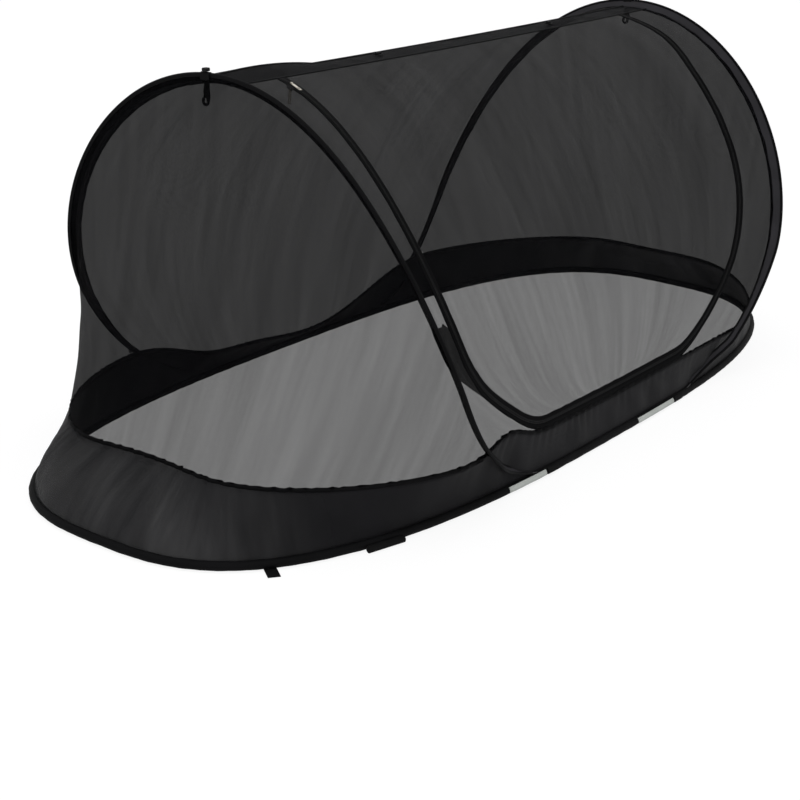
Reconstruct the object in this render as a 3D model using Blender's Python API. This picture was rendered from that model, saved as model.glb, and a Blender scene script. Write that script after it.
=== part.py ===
"""Pop-up mosquito net tent for a single bed.

Two sprung wire loops in fabric sleeves make a base rim and two leaning hoops.
The head end is built at +X and mirrored to the foot end at -X.
The near side, with the zipped door, faces -Y. Z is up and the rim rests on Z = 0.
"""
import math

import bmesh
import bpy
import numpy as np
from mathutils import Matrix, Vector

# Clearance between two pieces that touch
gap = 0.0003

# Base rim, seen from above
base_length = 2.28
base_width = 0.954
rim_squareness = 2.9
rim_sleeve_diameter = 0.020
rim_slot_half_angle = math.radians(36)
rim_sides = 7

# Leaning hoops
hoop_height = 0.834
hoop_spread_share = 0.6996
hoop_foot_spread_share = 0.0890
hoop_width = 1.005
hoop_widest_height = 0.284
hoop_lean_power = 0.68
hoop_round_power = 1.64
hoop_leaves_rim_height = 0.020
hoop_free_height = 0.100
fold_angle = math.radians(84)
fold_clearance = math.radians(1.5)

# Wire and sleeve fabric
wire_diameter = 0.0035
sleeve_fabric = 0.0012
seam_slot = 0.0010
flap_width = 0.013
flap_end_width = 0.0030

# Opaque side band and its binding
band_fabric = 0.0010
band_seat_lean = 0.0015
band_height_middle_near = 0.092
band_height_middle_far = 0.046
band_height_hoop = 0.112
band_height_end = 0.130
band_inset_middle_near = 0.022
band_inset_middle_far = 0.058
band_inset_end = 0.150
band_bow_power = 1.6
gusset_shares = (0.1, 0.4, 0.7, 1)
binding_height = 0.008
binding_thickness = 0.0028
binding_inset_at_hoop = 0.0045

# Net panels
net_fabric = 0.0008
ridge_fabric = 0.0016
ridge_half_width = 0.036
ridge_sag = 0.005
net_lift = 0.006
end_net_start_share = 0.3
end_net_hollow = 0.030
side_net_flat_share = 0.35
low_edge_ease_share = 0.2
net_step_share = 0.002

# Door zip, on the near net. Shares run from foot hoop to head hoop and from band to ridge
zip_left_share = 0.040
zip_left_top_share = 0.048
zip_left_corner_shares = (0.185, 0.25)
zip_right_share = 0.905
zip_right_corner_shares = (0.18, 0.48)
zip_tape_half = 0.0125
zip_tape_fabric = 0.0009
zip_split = 0.0024
zip_tooth_width = 0.0022
zip_tooth_height = 0.0024

# Zip slider and its two pulls
slider_length = 0.012
slider_width = 0.0105
slider_plate = 0.0010
slider_post_width = 0.0016
slider_post_length = 0.003
slider_from_ridge = 0.036
bail_pin = 0.0016
bail_wall = 0.0010
pull_barrel_wall = 0.0010
pull_barrel_length = 0.0024
pull_width = 0.0065
pull_length = 0.030
pull_thickness = 0.0012
pull_shoulder = 0.0015
pull_hole_width = 0.0030
pull_hole_length = 0.0080

# Straps, hooks and ties
crown_place = 0.026
strap_width = 0.022
strap_fabric = 0.0013
strap_drop = 0.010
knob_size = 0.012
knob_height = 0.007
knob_rounding = 0.002
hook_tape_width = 0.012
hook_tape_length = 0.030
hook_tape_thickness = 0.0016
hook_pin_diameter = 0.0026
hook_eye_wall = 0.0016
hook_stem_length = 0.013
hook_bend_radius = 0.0070
hook_tip_length = 0.008
hook_rod = 0.0050
door_tie_places = (-0.304, 0.367)
door_tie_width = 0.008
door_tie_length = 0.020
door_tie_thickness = 0.0014
toggle_diameter = 0.0055
toggle_length = 0.016
patch_places = (-0.376, 0.163)
patch_lengths = (0.130, 0.172)
patch_thickness = 0.0008
keeper_places = (-0.286, 0.274)
keeper_length = 0.040
keeper_thickness = 0.0014
wrap_middle_angle = math.radians(162)
wrap_half_angle = math.radians(34)
bed_tab_place = 1.000
bed_tab_width = 0.024
bed_tab_length = 0.034
bed_tab_thickness = 0.0016
bed_roll_place = 0.790
bed_roll_length = 0.084
bed_roll_diameter = 0.015

# Facets
wire_sides = 6
low_stations = 4
leg_stations = 8
corner_stations = 4
bottom_stations = 11
side_stations = 5
band_rows = 4
end_rows = 5
ridge_columns = 13
strip_columns = 3
held_stations = 9
sleeve_arc_parts = 6
strap_parts = 6
hook_parts = 8
pin_sides = 12
wrap_stations = 5
wrap_parts = 6

# Values that follow
rim_radius = rim_sleeve_diameter / 2
rim_step = (2 * math.pi - 2 * rim_slot_half_angle) / rim_sides
rim_height = rim_radius * math.cos(rim_step / 2)
rim_bore = rim_radius - sleeve_fabric
wire_radius = wire_diameter / 2
wire_side_shift = wire_radius + gap / 2
wire_floor = rim_height - rim_bore * math.cos(rim_step / 2) + wire_radius + gap
half_length = base_length / 2 - rim_radius
hoop_spread = base_length * hoop_spread_share
hoop_foot_spread = base_length * hoop_foot_spread_share
half_width = base_width / 2 - rim_radius
sleeve_bore = wire_radius + gap
sleeve_radius = sleeve_bore + sleeve_fabric
flap_half = seam_slot / 2 + sleeve_fabric
rim_top = rim_height + rim_radius * math.cos(rim_slot_half_angle)
sleeve_start_height = rim_top + sleeve_radius + 3 * gap
seat_side = rim_bore * math.sin(rim_slot_half_angle) - gap - band_fabric - band_seat_lean
seat_height = rim_height + rim_bore * math.cos(rim_slot_half_angle) - band_fabric
fold_slant = math.tan(fold_angle / 2 + fold_clearance)
net_rows = leg_stations + corner_stations
binding_base = band_fabric / 2 + gap
net_foot_rise = binding_base + binding_height + net_fabric / 2 + gap
net_start_height = band_height_hoop + net_foot_rise + net_lift

for thing in list(bpy.data.objects):
    bpy.data.objects.remove(thing, do_unlink=True)


def material(name, colour, roughness, metallic=0.0):
    """A plain finish for one kind of surface."""
    made = bpy.data.materials.new(name)
    made.use_nodes = True
    shader = made.node_tree.nodes["Principled BSDF"]
    shader.inputs["Base Color"].default_value = (*colour, 1)
    shader.inputs["Roughness"].default_value = roughness
    shader.inputs["Metallic"].default_value = metallic
    made.diffuse_color = (*colour, 1)
    return made


black_net = material("black_net", (0.02, 0.02, 0.022), 0.8)
band_cloth = material("band_cloth", (0.03, 0.03, 0.034), 0.6)
sleeve_cloth = material("sleeve_cloth", (0.012, 0.012, 0.013), 0.7)
spring_steel = material("spring_steel", (0.45, 0.45, 0.46), 0.35, 1.0)
zip_cloth = material("zip_cloth", (0.01, 0.01, 0.011), 0.55)
bright_metal = material("bright_metal", (0.72, 0.68, 0.6), 0.28, 1.0)
hook_plastic = material("hook_plastic", (0.012, 0.012, 0.013), 0.35)
strap_web = material("strap_web", (0.012, 0.012, 0.012), 0.75)
grey_tape = material("grey_tape", (0.55, 0.56, 0.54), 0.5)


def unit(vector):
    """The vector at length one."""
    return vector / np.linalg.norm(vector)


def smooth_step(share):
    """Ease from 0 to 1."""
    share = min(max(share, 0), 1)
    return share * share * (3 - 2 * share)


def resample(points, count):
    """Points at equal steps along a dense polyline of any dimension."""
    points = np.array(points)
    steps = np.linalg.norm(np.diff(points[:, :3], axis=0), axis=1)
    run = np.concatenate([[0], np.cumsum(steps)])
    wanted = np.linspace(0, run[-1], count)
    return np.stack([np.interp(wanted, run, column) for column in points.T], axis=1)


def add_mesh(name, points, faces, finish, end=1):
    """A closed mesh object, mirrored along X where end is -1, with its faces out."""
    mesh = bpy.data.meshes.new(name)
    mesh.from_pydata([(point[0] * end, point[1], point[2]) for point in points], [], faces)
    form = bmesh.new()
    form.from_mesh(mesh)
    bmesh.ops.recalc_face_normals(form, faces=form.faces)
    form.to_mesh(mesh)
    form.free()
    mesh.shade_smooth()
    mesh.set_sharp_from_angle(angle=math.radians(35))
    made = bpy.data.objects.new(name, mesh)
    made.data.materials.append(finish)
    bpy.context.scene.collection.objects.link(made)
    return made


def add_sweep(name, rings, finish, end=1):
    """A solid through rings of points, closed with a face at each end."""
    count = len(rings[0])
    points = [point for ring in rings for point in ring]
    faces = []
    for row in range(len(rings) - 1):
        for side in range(count):
            following = (side + 1) % count
            near, far = row * count, (row + 1) * count
            faces.append((near + side, near + following, far + following, far + side))
    faces.append(tuple(range(count)))
    faces.append(tuple(range(len(points) - count, len(points))))
    return add_mesh(name, points, faces, finish, end)


def add_sheet(name, grid, thickness, finish, end=1):
    """Cloth of even thickness over a grid of points."""
    rows, columns = len(grid), len(grid[0])
    points = [point for row in grid for point in row]
    faces = [
        (r * columns + c, r * columns + c + 1, (r + 1) * columns + c + 1, (r + 1) * columns + c)
        for r in range(rows - 1)
        for c in range(columns - 1)
    ]
    made = add_mesh(name, points, faces, finish, end)
    solid = made.modifiers.new("cloth", "SOLIDIFY")
    solid.thickness = thickness
    solid.offset = 0
    return made


def tangents(points):
    """Unit directions along a polyline."""
    return [unit(step) for step in np.gradient(np.array(points), axis=0)]


def add_tube(name, points, diameter, sides, finish, end=1):
    """A round rod along points."""
    up = np.array([0, 0, 1])
    rings = []
    for point, along in zip(points, tangents(points)):
        across = unit(np.cross(up, along))
        rise = np.cross(along, across)
        angles = [2 * math.pi * (side + 0.5) / sides for side in range(sides)]
        rings.append([
            point + diameter / 2 * (math.cos(angle) * across + math.sin(angle) * rise)
            for angle in angles
        ])
    return add_sweep(name, rings, finish, end)


def add_block(name, frame, low, high, finish):
    """A box between two corners of a frame, whose rows are its origin and three axes."""
    origin, first, second, third = frame
    corners = [
        origin + first * x + second * y + third * z
        for x in (low[0], high[0])
        for y in (low[1], high[1])
        for z in (low[2], high[2])
    ]
    faces = [(0, 1, 3, 2), (4, 6, 7, 5), (0, 4, 5, 1), (2, 3, 7, 6), (0, 2, 6, 4), (1, 5, 7, 3)]
    return add_mesh(name, corners, faces, finish)


def add_drum(name, frame, radius, low, high, finish, sides=10):
    """A round bar along the third axis of a frame."""
    origin, first, second, third = frame
    rings = []
    for level in (low, high):
        angles = [2 * math.pi * (side + 0.5) / sides for side in range(sides)]
        rings.append([
            origin + radius * (math.cos(angle) * first + math.sin(angle) * second) + third * level
            for angle in angles
        ])
    return add_sweep(name, rings, finish)


def apply_boolean(target, tool, operation):
    """Join or cut, then drop the tool."""
    change = target.modifiers.new(operation.lower(), "BOOLEAN")
    change.operation = operation
    change.object = tool
    change.solver = "EXACT"
    bpy.context.view_layer.update()
    graph = bpy.context.evaluated_depsgraph_get()
    result = bpy.data.meshes.new_from_object(target.evaluated_get(graph))
    target.modifiers.clear()
    target.data = result
    bpy.data.objects.remove(tool, do_unlink=True)


def set_origin(made, place):
    """Move an object's origin to a point on its axis, leaving its form where it is."""
    made.data.transform(Matrix.Translation(-Vector(place)))
    made.location = place


def rim_line(x_start=gap / 2, count=400):
    """Centre of the rim sleeve from the middle of the near side, round the end, to the far side."""
    power = 2 / rim_squareness
    line = []
    for step in range(count + 1):
        angle = -math.pi / 2 + math.pi * step / count
        across = abs(math.cos(angle)) ** power
        aside = math.copysign(abs(math.sin(angle)) ** power, math.sin(angle))
        line.append((half_length * across, half_width * aside, rim_height))
    line[0] = (x_start, line[0][1], rim_height)
    line[-1] = (x_start, line[-1][1], rim_height)
    return np.array(line)


def rim_half_width(x):
    """Half the width between the rim's centre lines, at a distance from the middle."""
    reach = min(abs(x) / half_length, 1)
    return half_width * (1 - reach ** rim_squareness) ** (1 / rim_squareness)


def inward_of(along):
    """Level direction from the rim to the inside."""
    return unit(np.cross(np.array([0, 0, 1]), along))


def hoop_point(angle):
    """Wire centre of the near leg of the head hoop, from the rim at 0 to the crown at a quarter turn."""
    rise = hoop_height - sleeve_radius
    height = rise * (1 - math.cos(angle))
    reach = (hoop_spread - hoop_foot_spread) / 2 * math.sin(angle) ** hoop_lean_power
    x = hoop_foot_spread / 2 + reach
    if height > hoop_widest_height:
        up = (height - hoop_widest_height) / (rise - hoop_widest_height)
        free = hoop_width / 2 * math.sqrt(max(0, 1 - up ** hoop_round_power))
    else:
        swell = (hoop_width - base_width) / 2
        free = base_width / 2 + swell * math.sin(math.pi / 2 * height / hoop_widest_height)
    held = rim_half_width(x) + wire_side_shift
    ease = smooth_step((height - hoop_leaves_rim_height) / (hoop_free_height - hoop_leaves_rim_height))
    return np.array([x, -(held + (free - held) * ease), max(height, wire_floor)])


def hoop_angle(height):
    """Angle at which the hoop reaches a height."""
    return math.acos(1 - height / (hoop_height - sleeve_radius))


def hoop_leg(first_height, steps=600):
    """Dense wire centres and climbing directions of the near leg, from a height to the crown."""
    start = hoop_angle(first_height)
    nudge = (math.pi / 2 - start) / steps / 4
    rows = []
    for step in range(steps + 1):
        angle = math.pi / 2 - (math.pi / 2 - start) * (1 - step / steps) ** 2
        ahead = min(angle + nudge, math.pi / 2)
        climb = hoop_point(ahead) - hoop_point(ahead - 2 * nudge)
        climb[1] = 0
        rows.append(np.concatenate([hoop_point(angle), unit(climb)]))
    return np.array(rows)


def hoop_frames():
    """Stations of the whole head hoop, each with its centre and its inward and outward directions."""
    dense = hoop_leg(sleeve_start_height)
    first = int(np.argmax(dense[:, 2] >= net_start_height))
    last = int(np.argmax(np.abs(dense[:, 1]) <= ridge_half_width + gap))
    parts = [
        resample(dense[:first + 1], low_stations + 1)[:-1],
        resample(dense[first:last + 1], net_rows + 1),
        dense[-1:],
    ]
    leg = np.concatenate(parts)
    far = leg[::-1][1:].copy()
    far[:, 1] *= -1
    rows = np.concatenate([leg, far])
    frames = []
    for row, along in zip(rows, tangents(rows[:, :3])):
        outward = np.array([row[5], 0, -row[3]])
        outward = unit(outward - along * np.dot(outward, along))
        frames.append((row[:3], np.cross(along, outward), outward))
    return frames


def flap_at(height):
    """Width of the sleeve's sewn flap, narrow where the hoop runs into the rim."""
    share = smooth_step((height - sleeve_start_height) / (hoop_free_height - sleeve_start_height))
    return flap_end_width + (flap_width - flap_end_width) * share


def seam_point(frame, side, thickness):
    """Where cloth meets the flap's tip, towards the end (1) or towards the middle (-1)."""
    centre, inward, outward = frame
    reach = flap_at(centre[2]) + thickness / 2 + gap
    return centre + inward * reach + outward * side * (thickness + gap) / 2


def sleeve_ring(frame):
    """Folded strip round the wire, open along its sewn edge."""
    centre, inward, outward = frame
    flap = flap_at(centre[2])
    outline = []
    for radius, half, turn in ((sleeve_radius, flap_half, 1), (sleeve_bore, seam_slot / 2, -1)):
        start = math.asin(half / radius)
        path = [(flap, half)]
        for part in range(sleeve_arc_parts + 1):
            angle = start + (2 * math.pi - 2 * start) * part / sleeve_arc_parts
            path.append((radius * math.cos(angle), radius * math.sin(angle)))
        path.append((flap, -half))
        outline += path[::turn]
    return [centre + inward * a + outward * b for a, b in outline]


def rim_ring(centre, along):
    """Round sleeve with a flat underside and a slot along its top."""
    inward, up = inward_of(along), np.array([0, 0, 1])
    outline = []
    start = math.pi / 2 + rim_slot_half_angle
    for radius, turn in ((rim_radius, 1), (rim_bore, -1)):
        arc = []
        for side in range(rim_sides + 1):
            angle = start + rim_step * side
            arc.append((radius * math.cos(angle), radius * math.sin(angle)))
        outline += arc[::turn]
    return [centre + inward * a + up * b for a, b in outline]


frames = hoop_frames()
crown = frames[len(frames) // 2]
net_frames = frames[low_stations:low_stations + net_rows + 1]
seam_leg = np.array([seam_point(frame, -1, net_fabric) for frame in net_frames])
ridge_edge_y = abs(seam_leg[-1][1])
crossing_x = seam_leg[0][0]
crossing_y = abs(seam_leg[0][1]) - binding_thickness / 2 - binding_inset_at_hoop
ridge_drop = (ridge_fabric - net_fabric) / 2
ridge_crown = seam_point(crown, -1, net_fabric)[2] - seam_leg[-1][2]


def band_top(x, side):
    """Half width and height of the side band's top edge between the hoops, near (-1) or far (1)."""
    height_middle = band_height_middle_near if side < 0 else band_height_middle_far
    inset_middle = band_inset_middle_near if side < 0 else band_inset_middle_far
    share = smooth_step(abs(x) / crossing_x)
    middle_y = half_width + rim_radius - inset_middle
    height = height_middle + (band_height_hoop - height_middle) * share
    return middle_y + (crossing_y - middle_y) * share, height


def band_line():
    """Stations of the rim, with the band's foot and top edges, from near middle to far middle."""
    dense = rim_line()
    along = tangents(dense)
    run = np.concatenate([[0], np.cumsum(np.linalg.norm(np.diff(dense, axis=0), axis=1))])
    near_cross = int(np.argmax(dense[:, 0] >= crossing_x))
    crossing, middle = run[near_cross], run[-1] / 2
    rows = []
    for point, direction, place in zip(dense, along, run):
        side = -1 if place < middle else 1
        inward = inward_of(direction)
        foot = point + inward * seat_side
        foot[2] = seat_height
        reach = min(place, run[-1] - place)
        if reach <= crossing:
            tallest = band_top(0, side)[1] + binding_base + binding_height
            slant = fold_slant * (tallest - rim_top)
            x = slant + (crossing_x - slant) * point[0] / crossing_x
            y, height = band_top(x, side)
            top = np.array([x, side * y, height])
        else:
            share = smooth_step((reach - crossing) / (middle - crossing))
            first_inset = rim_half_width(crossing_x) - crossing_y
            inset = first_inset + (band_inset_end - rim_radius - first_inset) * share
            top = point + inward * inset
            top[2] = band_height_hoop + (band_height_end - band_height_hoop) * share
        rows.append(np.concatenate([point, foot, top]))
    rows = np.array(rows)
    far_cross = len(rows) - 1 - near_cross
    near = resample(rows[:near_cross + 1], side_stations + 1)[:-1]
    round_end = resample(rows[near_cross:far_cross + 1], 2 * (net_rows + 1) + 1)
    far = resample(rows[far_cross:], side_stations + 1)[1:]
    return np.concatenate([near, round_end, far])


def binding_ring(top, along):
    """Flat binding that stands on the band's top edge."""
    inward, up = inward_of(along), np.array([0, 0, 1])
    half = binding_thickness / 2
    high = binding_base + binding_height
    outline = ((-half, binding_base), (half, binding_base), (half, high), (-half, high))
    return [top + inward * a + up * b for a, b in outline]


band = band_line()
rim_path = band[:, :3]
band_foot = band[:, 3:6]
band_tops = band[:, 6:]
rim_along = tangents(rim_path)
band_along = tangents(band_tops)


def low_edge(share, side):
    """Lower edge of a side net, from the foot hoop to the head hoop."""
    x = crossing_x * (2 * share - 1)
    line = band_tops[:side_stations + 1] if side < 0 else band_tops[::-1][:side_stations + 1]
    y, height = (np.interp(abs(x), line[:, 0], line[:, axis]) for axis in (1, 2))
    ease = smooth_step((abs(x) / crossing_x - 1 + low_edge_ease_share) / low_edge_ease_share)
    last_y, last_height = side * abs(seam_leg[0][1]), seam_leg[0][2]
    level = height + net_foot_rise
    return np.array([x, y + (last_y - y) * ease, level + (last_height - level) * ease])


def side_leg(share, side, end):
    """Hoop edge of a side net, from band to ridge."""
    point = np.array([np.interp(share * net_rows, range(net_rows + 1), column) for column in seam_leg.T])
    return np.array([point[0] * end, -side * point[1], point[2]])


def ridge_edge(share, side):
    """Upper edge of a side net, along the ridge band."""
    last = seam_leg[-1]
    dip = ridge_sag * 4 * share * (1 - share)
    return np.array([last[0] * (2 * share - 1), side * ridge_edge_y, last[2] - dip])


def side_net(u, v, side=-1):
    """Stretched surface between the hoops: u from foot to head, v from band to ridge."""
    foot, head = side_leg(v, side, -1), side_leg(v, side, 1)
    low_foot, low_head = side_leg(0, side, -1), side_leg(0, side, 1)
    top_foot, top_head = side_leg(1, side, -1), side_leg(1, side, 1)
    across = (1 - u) * foot + u * head
    upward = (1 - v) * low_edge(u, side) + v * ridge_edge(u, side)
    corners = (1 - v) * ((1 - u) * low_foot + u * low_head) + v * ((1 - u) * top_foot + u * top_head)
    bulge = foot - ((1 - v) * low_foot + v * top_foot)
    bulge[0] = 0
    return across + upward - corners - side_net_flat_share * 4 * u * (1 - u) * bulge


def net_normal(u, v):
    """Outward direction of the near net."""
    step = net_step_share
    along = side_net(min(u + step, 1), v) - side_net(max(u - step, 0), v)
    rise = side_net(u, min(v + step, 1)) - side_net(u, max(v - step, 0))
    return unit(np.cross(along, rise))


def zip_shares():
    """Stations of the zip: left leg, left corner, bottom, right corner, right leg."""
    drop = zip_tape_half + 3 * gap
    step = 10 * net_step_share
    middle_rise = np.linalg.norm(side_net(0.5, step) - side_net(0.5, 0)) / step
    bottom = drop / middle_rise
    sides = []
    for edge, corner, lean in (
        (zip_left_share, zip_left_corner_shares, zip_left_top_share),
        (zip_right_share, zip_right_corner_shares, 0),
    ):
        turn = 1 if edge < 0.5 else -1
        stations = []
        for step in range(leg_stations):
            v = 1 - (1 - bottom - corner[1]) * step / leg_stations
            stations.append((edge + lean * v ** 3, v))
        low_lean = lean * (bottom + corner[1]) ** 3
        for step in range(corner_stations + 1):
            angle = math.pi / 2 * step / corner_stations
            u = edge + low_lean * math.cos(angle) + turn * corner[0] * (1 - math.cos(angle))
            stations.append((u, bottom + corner[1] * (1 - math.sin(angle))))
        sides.append(stations)
    left, right = sides
    floor = []
    for step in range(1, bottom_stations - 1):
        share = step / (bottom_stations - 1)
        floor.append((left[-1][0] + (right[-1][0] - left[-1][0]) * share, bottom))
    return left, floor, right[::-1]


left_shares, floor_shares, right_shares = zip_shares()
zip_stations = left_shares + floor_shares + right_shares
zip_centres = [side_net(u, v) for u, v in zip_stations]
zip_along = tangents(zip_centres)
zip_normals = [net_normal(u, v) for u, v in zip_stations]
zip_outward = [unit(np.cross(along, normal)) for along, normal in zip(zip_along, zip_normals)]
door_middle = side_net(0.5, 0.5)
if np.dot(zip_outward[0], door_middle - zip_centres[0]) > 0:
    zip_outward = [-outward for outward in zip_outward]
for station, outward in ((0, -1.0), (-1, 1.0)):
    zip_outward[station] = np.array([outward, 0, 0])
    zip_normals[station] = np.array([0, 0, 1.0])


def zip_ring(station, side):
    """One half of the zip: tape with a raised row of teeth along its inner edge."""
    centre, outward, normal = zip_centres[station], zip_outward[station], zip_normals[station]
    inner, tooth = zip_split / 2, zip_split / 2 + zip_tooth_width
    tape, crest = zip_tape_fabric / 2, zip_tooth_height / 2
    outline = (
        (inner, -crest), (tooth, -crest), (tooth, -tape), (zip_tape_half, -tape),
        (zip_tape_half, tape), (tooth, tape), (tooth, crest), (inner, crest),
    )
    return [centre + outward * side * a + normal * b for a, b in outline]


def zip_edge(station, side):
    """Where a net's edge meets the zip tape."""
    return zip_centres[station] + zip_outward[station] * side * (zip_tape_half + gap)


def corrected(share_pair, first, last, first_pair, last_pair, s):
    """Point of the near net, moved so that a row starts and ends where it is told."""
    point = side_net(*share_pair)
    return point + (1 - s) * (first - side_net(*first_pair)) + s * (last - side_net(*last_pair))


def build_end(end, label):
    """Everything that one end of the tent repeats."""
    rings = [rim_ring(centre, along) for centre, along in zip(rim_path, rim_along)]
    add_sweep(f"{label}_rim_sleeve", rings, sleeve_cloth, end)

    wire_line = []
    for centre, along in zip(rim_path, rim_along):
        point = centre + inward_of(along) * wire_side_shift
        point[2] = wire_floor
        wire_line.append(point)
    add_tube(f"{label}_rim_wire", wire_line, wire_diameter, wire_sides, spring_steel, end)

    start = np.array([gap / 2, -(rim_half_width(0) + wire_side_shift), wire_floor])
    rise = hoop_leg(wire_floor)
    rise = rise[rise[:, 2] < sleeve_start_height][:, :3]
    held = [start] + list(resample(np.concatenate([[start], rise]), held_stations)[1:-1])
    mirrored = [point * np.array([1, -1, 1]) for point in held[::-1]]
    hoop_line = held + [frame[0] for frame in frames] + mirrored
    add_tube(f"{label}_hoop_wire", hoop_line, wire_diameter, wire_sides, spring_steel, end)

    add_sweep(f"{label}_hoop_sleeve", [sleeve_ring(frame) for frame in frames], sleeve_cloth, end)

    rows = []
    for step in range(band_rows):
        share = step / (band_rows - 1)
        row = band_foot + (band_tops - band_foot) * share
        row[:, 1:2] = band_foot[:, 1:2] + (band_tops[:, 1:2] - band_foot[:, 1:2]) * share ** band_bow_power
        rows.append(row)
    add_sheet(f"{label}_side_band", rows, band_fabric, band_cloth, end)

    rings = [binding_ring(top, along) for top, along in zip(band_tops, band_along)]
    add_sweep(f"{label}_band_binding", rings, band_cloth, end)

    build_end_net(end, label)
    build_crown(end, label)


def build_end_net(end, label):
    """Net that closes the end, from the hoop's outer face down to the binding."""
    upper = [seam_point(frame, 1, net_fabric) for frame in frames[low_stations:-low_stations]]
    lower = list(band_tops[side_stations:-side_stations] + np.array([0, 0, net_foot_rise]))
    lower[0] = lower[0] + (lower[1] - lower[0]) * end_net_start_share
    lower[-1] = lower[-1] + (lower[-2] - lower[-1]) * end_net_start_share
    columns = len(upper)
    grid = []
    for step in range(end_rows + 1):
        share = step / end_rows
        row = []
        for column in range(columns):
            point = lower[column] + (upper[column] - lower[column]) * share
            middle = math.sin(math.pi * column / (columns - 1))
            point[0] -= end_net_hollow * 4 * share * (1 - share) * middle
            row.append(point)
        grid.append(row)
    add_sheet(f"{label}_net", grid, net_fabric, black_net, end)


def build_gusset(side, label):
    """Cloth of the band at the fold, between the slanted edges of its two halves."""
    row = band_tops[0] if side < 0 else band_tops[-1]
    foot = band_foot[0] if side < 0 else band_foot[-1]
    tallest = row[2] + binding_base + binding_height
    grid = []
    for share in gusset_shares:
        point = foot + (row - foot) * share
        point[1] = foot[1] + (row[1] - foot[1]) * share ** band_bow_power
        if share == 1:
            point[2] = tallest
        reach = point[0] - band_fabric - gap
        grid.append([np.array([x, point[1], point[2]]) for x in (-reach, -reach / 2, 0, reach / 2, reach)])
    add_sheet(f"{label}_fold_gusset", grid, band_fabric, band_cloth)


def crown_seat():
    """Place on the hoop's top, past its middle, with directions outward, along the hoop and up."""
    middle = len(frames) // 2
    (first, _, outward), (second, _, turned) = frames[middle], frames[middle + 1]
    share = crown_place / second[1]
    along = unit(second - first)
    outward = outward + (turned - outward) * share
    outward = unit(outward - along * np.dot(outward, along))
    return first + (second - first) * share, outward, along, np.cross(outward, along)


def build_crown(end, label):
    """Strap over the crown with its knob, and the tape and hook that hang inside."""
    centre, outward, along, rise = crown_seat()
    inner = sleeve_radius + gap
    outer = inner + strap_fabric
    angles = [math.pi * part / strap_parts for part in range(strap_parts + 1)]
    outline = [(outer, -strap_drop)]
    outline += [(outer * math.cos(angle), outer * math.sin(angle)) for angle in angles]
    outline += [(-outer, -strap_drop), (-inner, -strap_drop)]
    outline += [(-inner * math.cos(angle), inner * math.sin(angle)) for angle in angles]
    outline += [(inner, -strap_drop)]
    rings = []
    for place in (-strap_width / 2, strap_width / 2):
        rings.append([centre + outward * a + along * place + rise * b for a, b in outline])
    add_sweep(f"{label}_crown_strap", rings, strap_web, end)

    knob = bmesh.new()
    bmesh.ops.create_cube(knob, size=1)
    bmesh.ops.scale(knob, vec=(knob_size, knob_size, knob_height), verts=knob.verts)
    bmesh.ops.bevel(
        knob, geom=knob.edges[:], offset=knob_rounding, segments=2, affect="EDGES", profile=0.5
    )
    base = centre + rise * (outer + gap + knob_height / 2)
    points = [base + outward * vert.co.x + along * vert.co.y + rise * vert.co.z for vert in knob.verts]
    faces = [tuple(vert.index for vert in face.verts) for face in knob.faces]
    knob.free()
    add_mesh(f"{label}_crown_knob", points, faces, hook_plastic, end)

    axes = (np.array([1.0, 0, 0]), np.array([0, 1.0, 0]), np.array([0, 0, 1.0]))
    edge = seam_point(crown, -1, ridge_fabric)
    side_x = edge[0] - hook_tape_thickness / 2
    slope_drop = ridge_crown * (crown_place + hook_tape_width / 2) / ridge_half_width
    top = np.array([end * side_x, crown_place, edge[2] - ridge_fabric / 2 - gap - slope_drop])
    pin_drop = hook_tape_length - hook_pin_diameter / 2
    frame = (top, *axes)
    half = hook_tape_width / 2
    thick = hook_tape_thickness / 2
    eye_half = hook_rod / 2 + gap
    tape_low = (-thick, -half, -hook_tape_length)
    tape = add_block(f"{label}_hook_tape", frame, tape_low, (thick, half, 0), strap_web)
    notch_top = pin_drop - hook_pin_diameter / 2 - hook_eye_wall - 2 * gap
    notch_low = (-half, -eye_half, -hook_tape_length - gap)
    notch = add_block("notch", frame, notch_low, (half, eye_half, -notch_top), strap_web)
    apply_boolean(tape, notch, "DIFFERENCE")
    pin_place = top - axes[2] * pin_drop
    pin_frame = (pin_place, axes[0], axes[2], axes[1])
    pin = add_drum("pin", pin_frame, hook_pin_diameter / 2, -half + gap, half - gap, strap_web)
    apply_boolean(tape, pin, "UNION")

    build_hook(end, label, pin_place)


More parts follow.
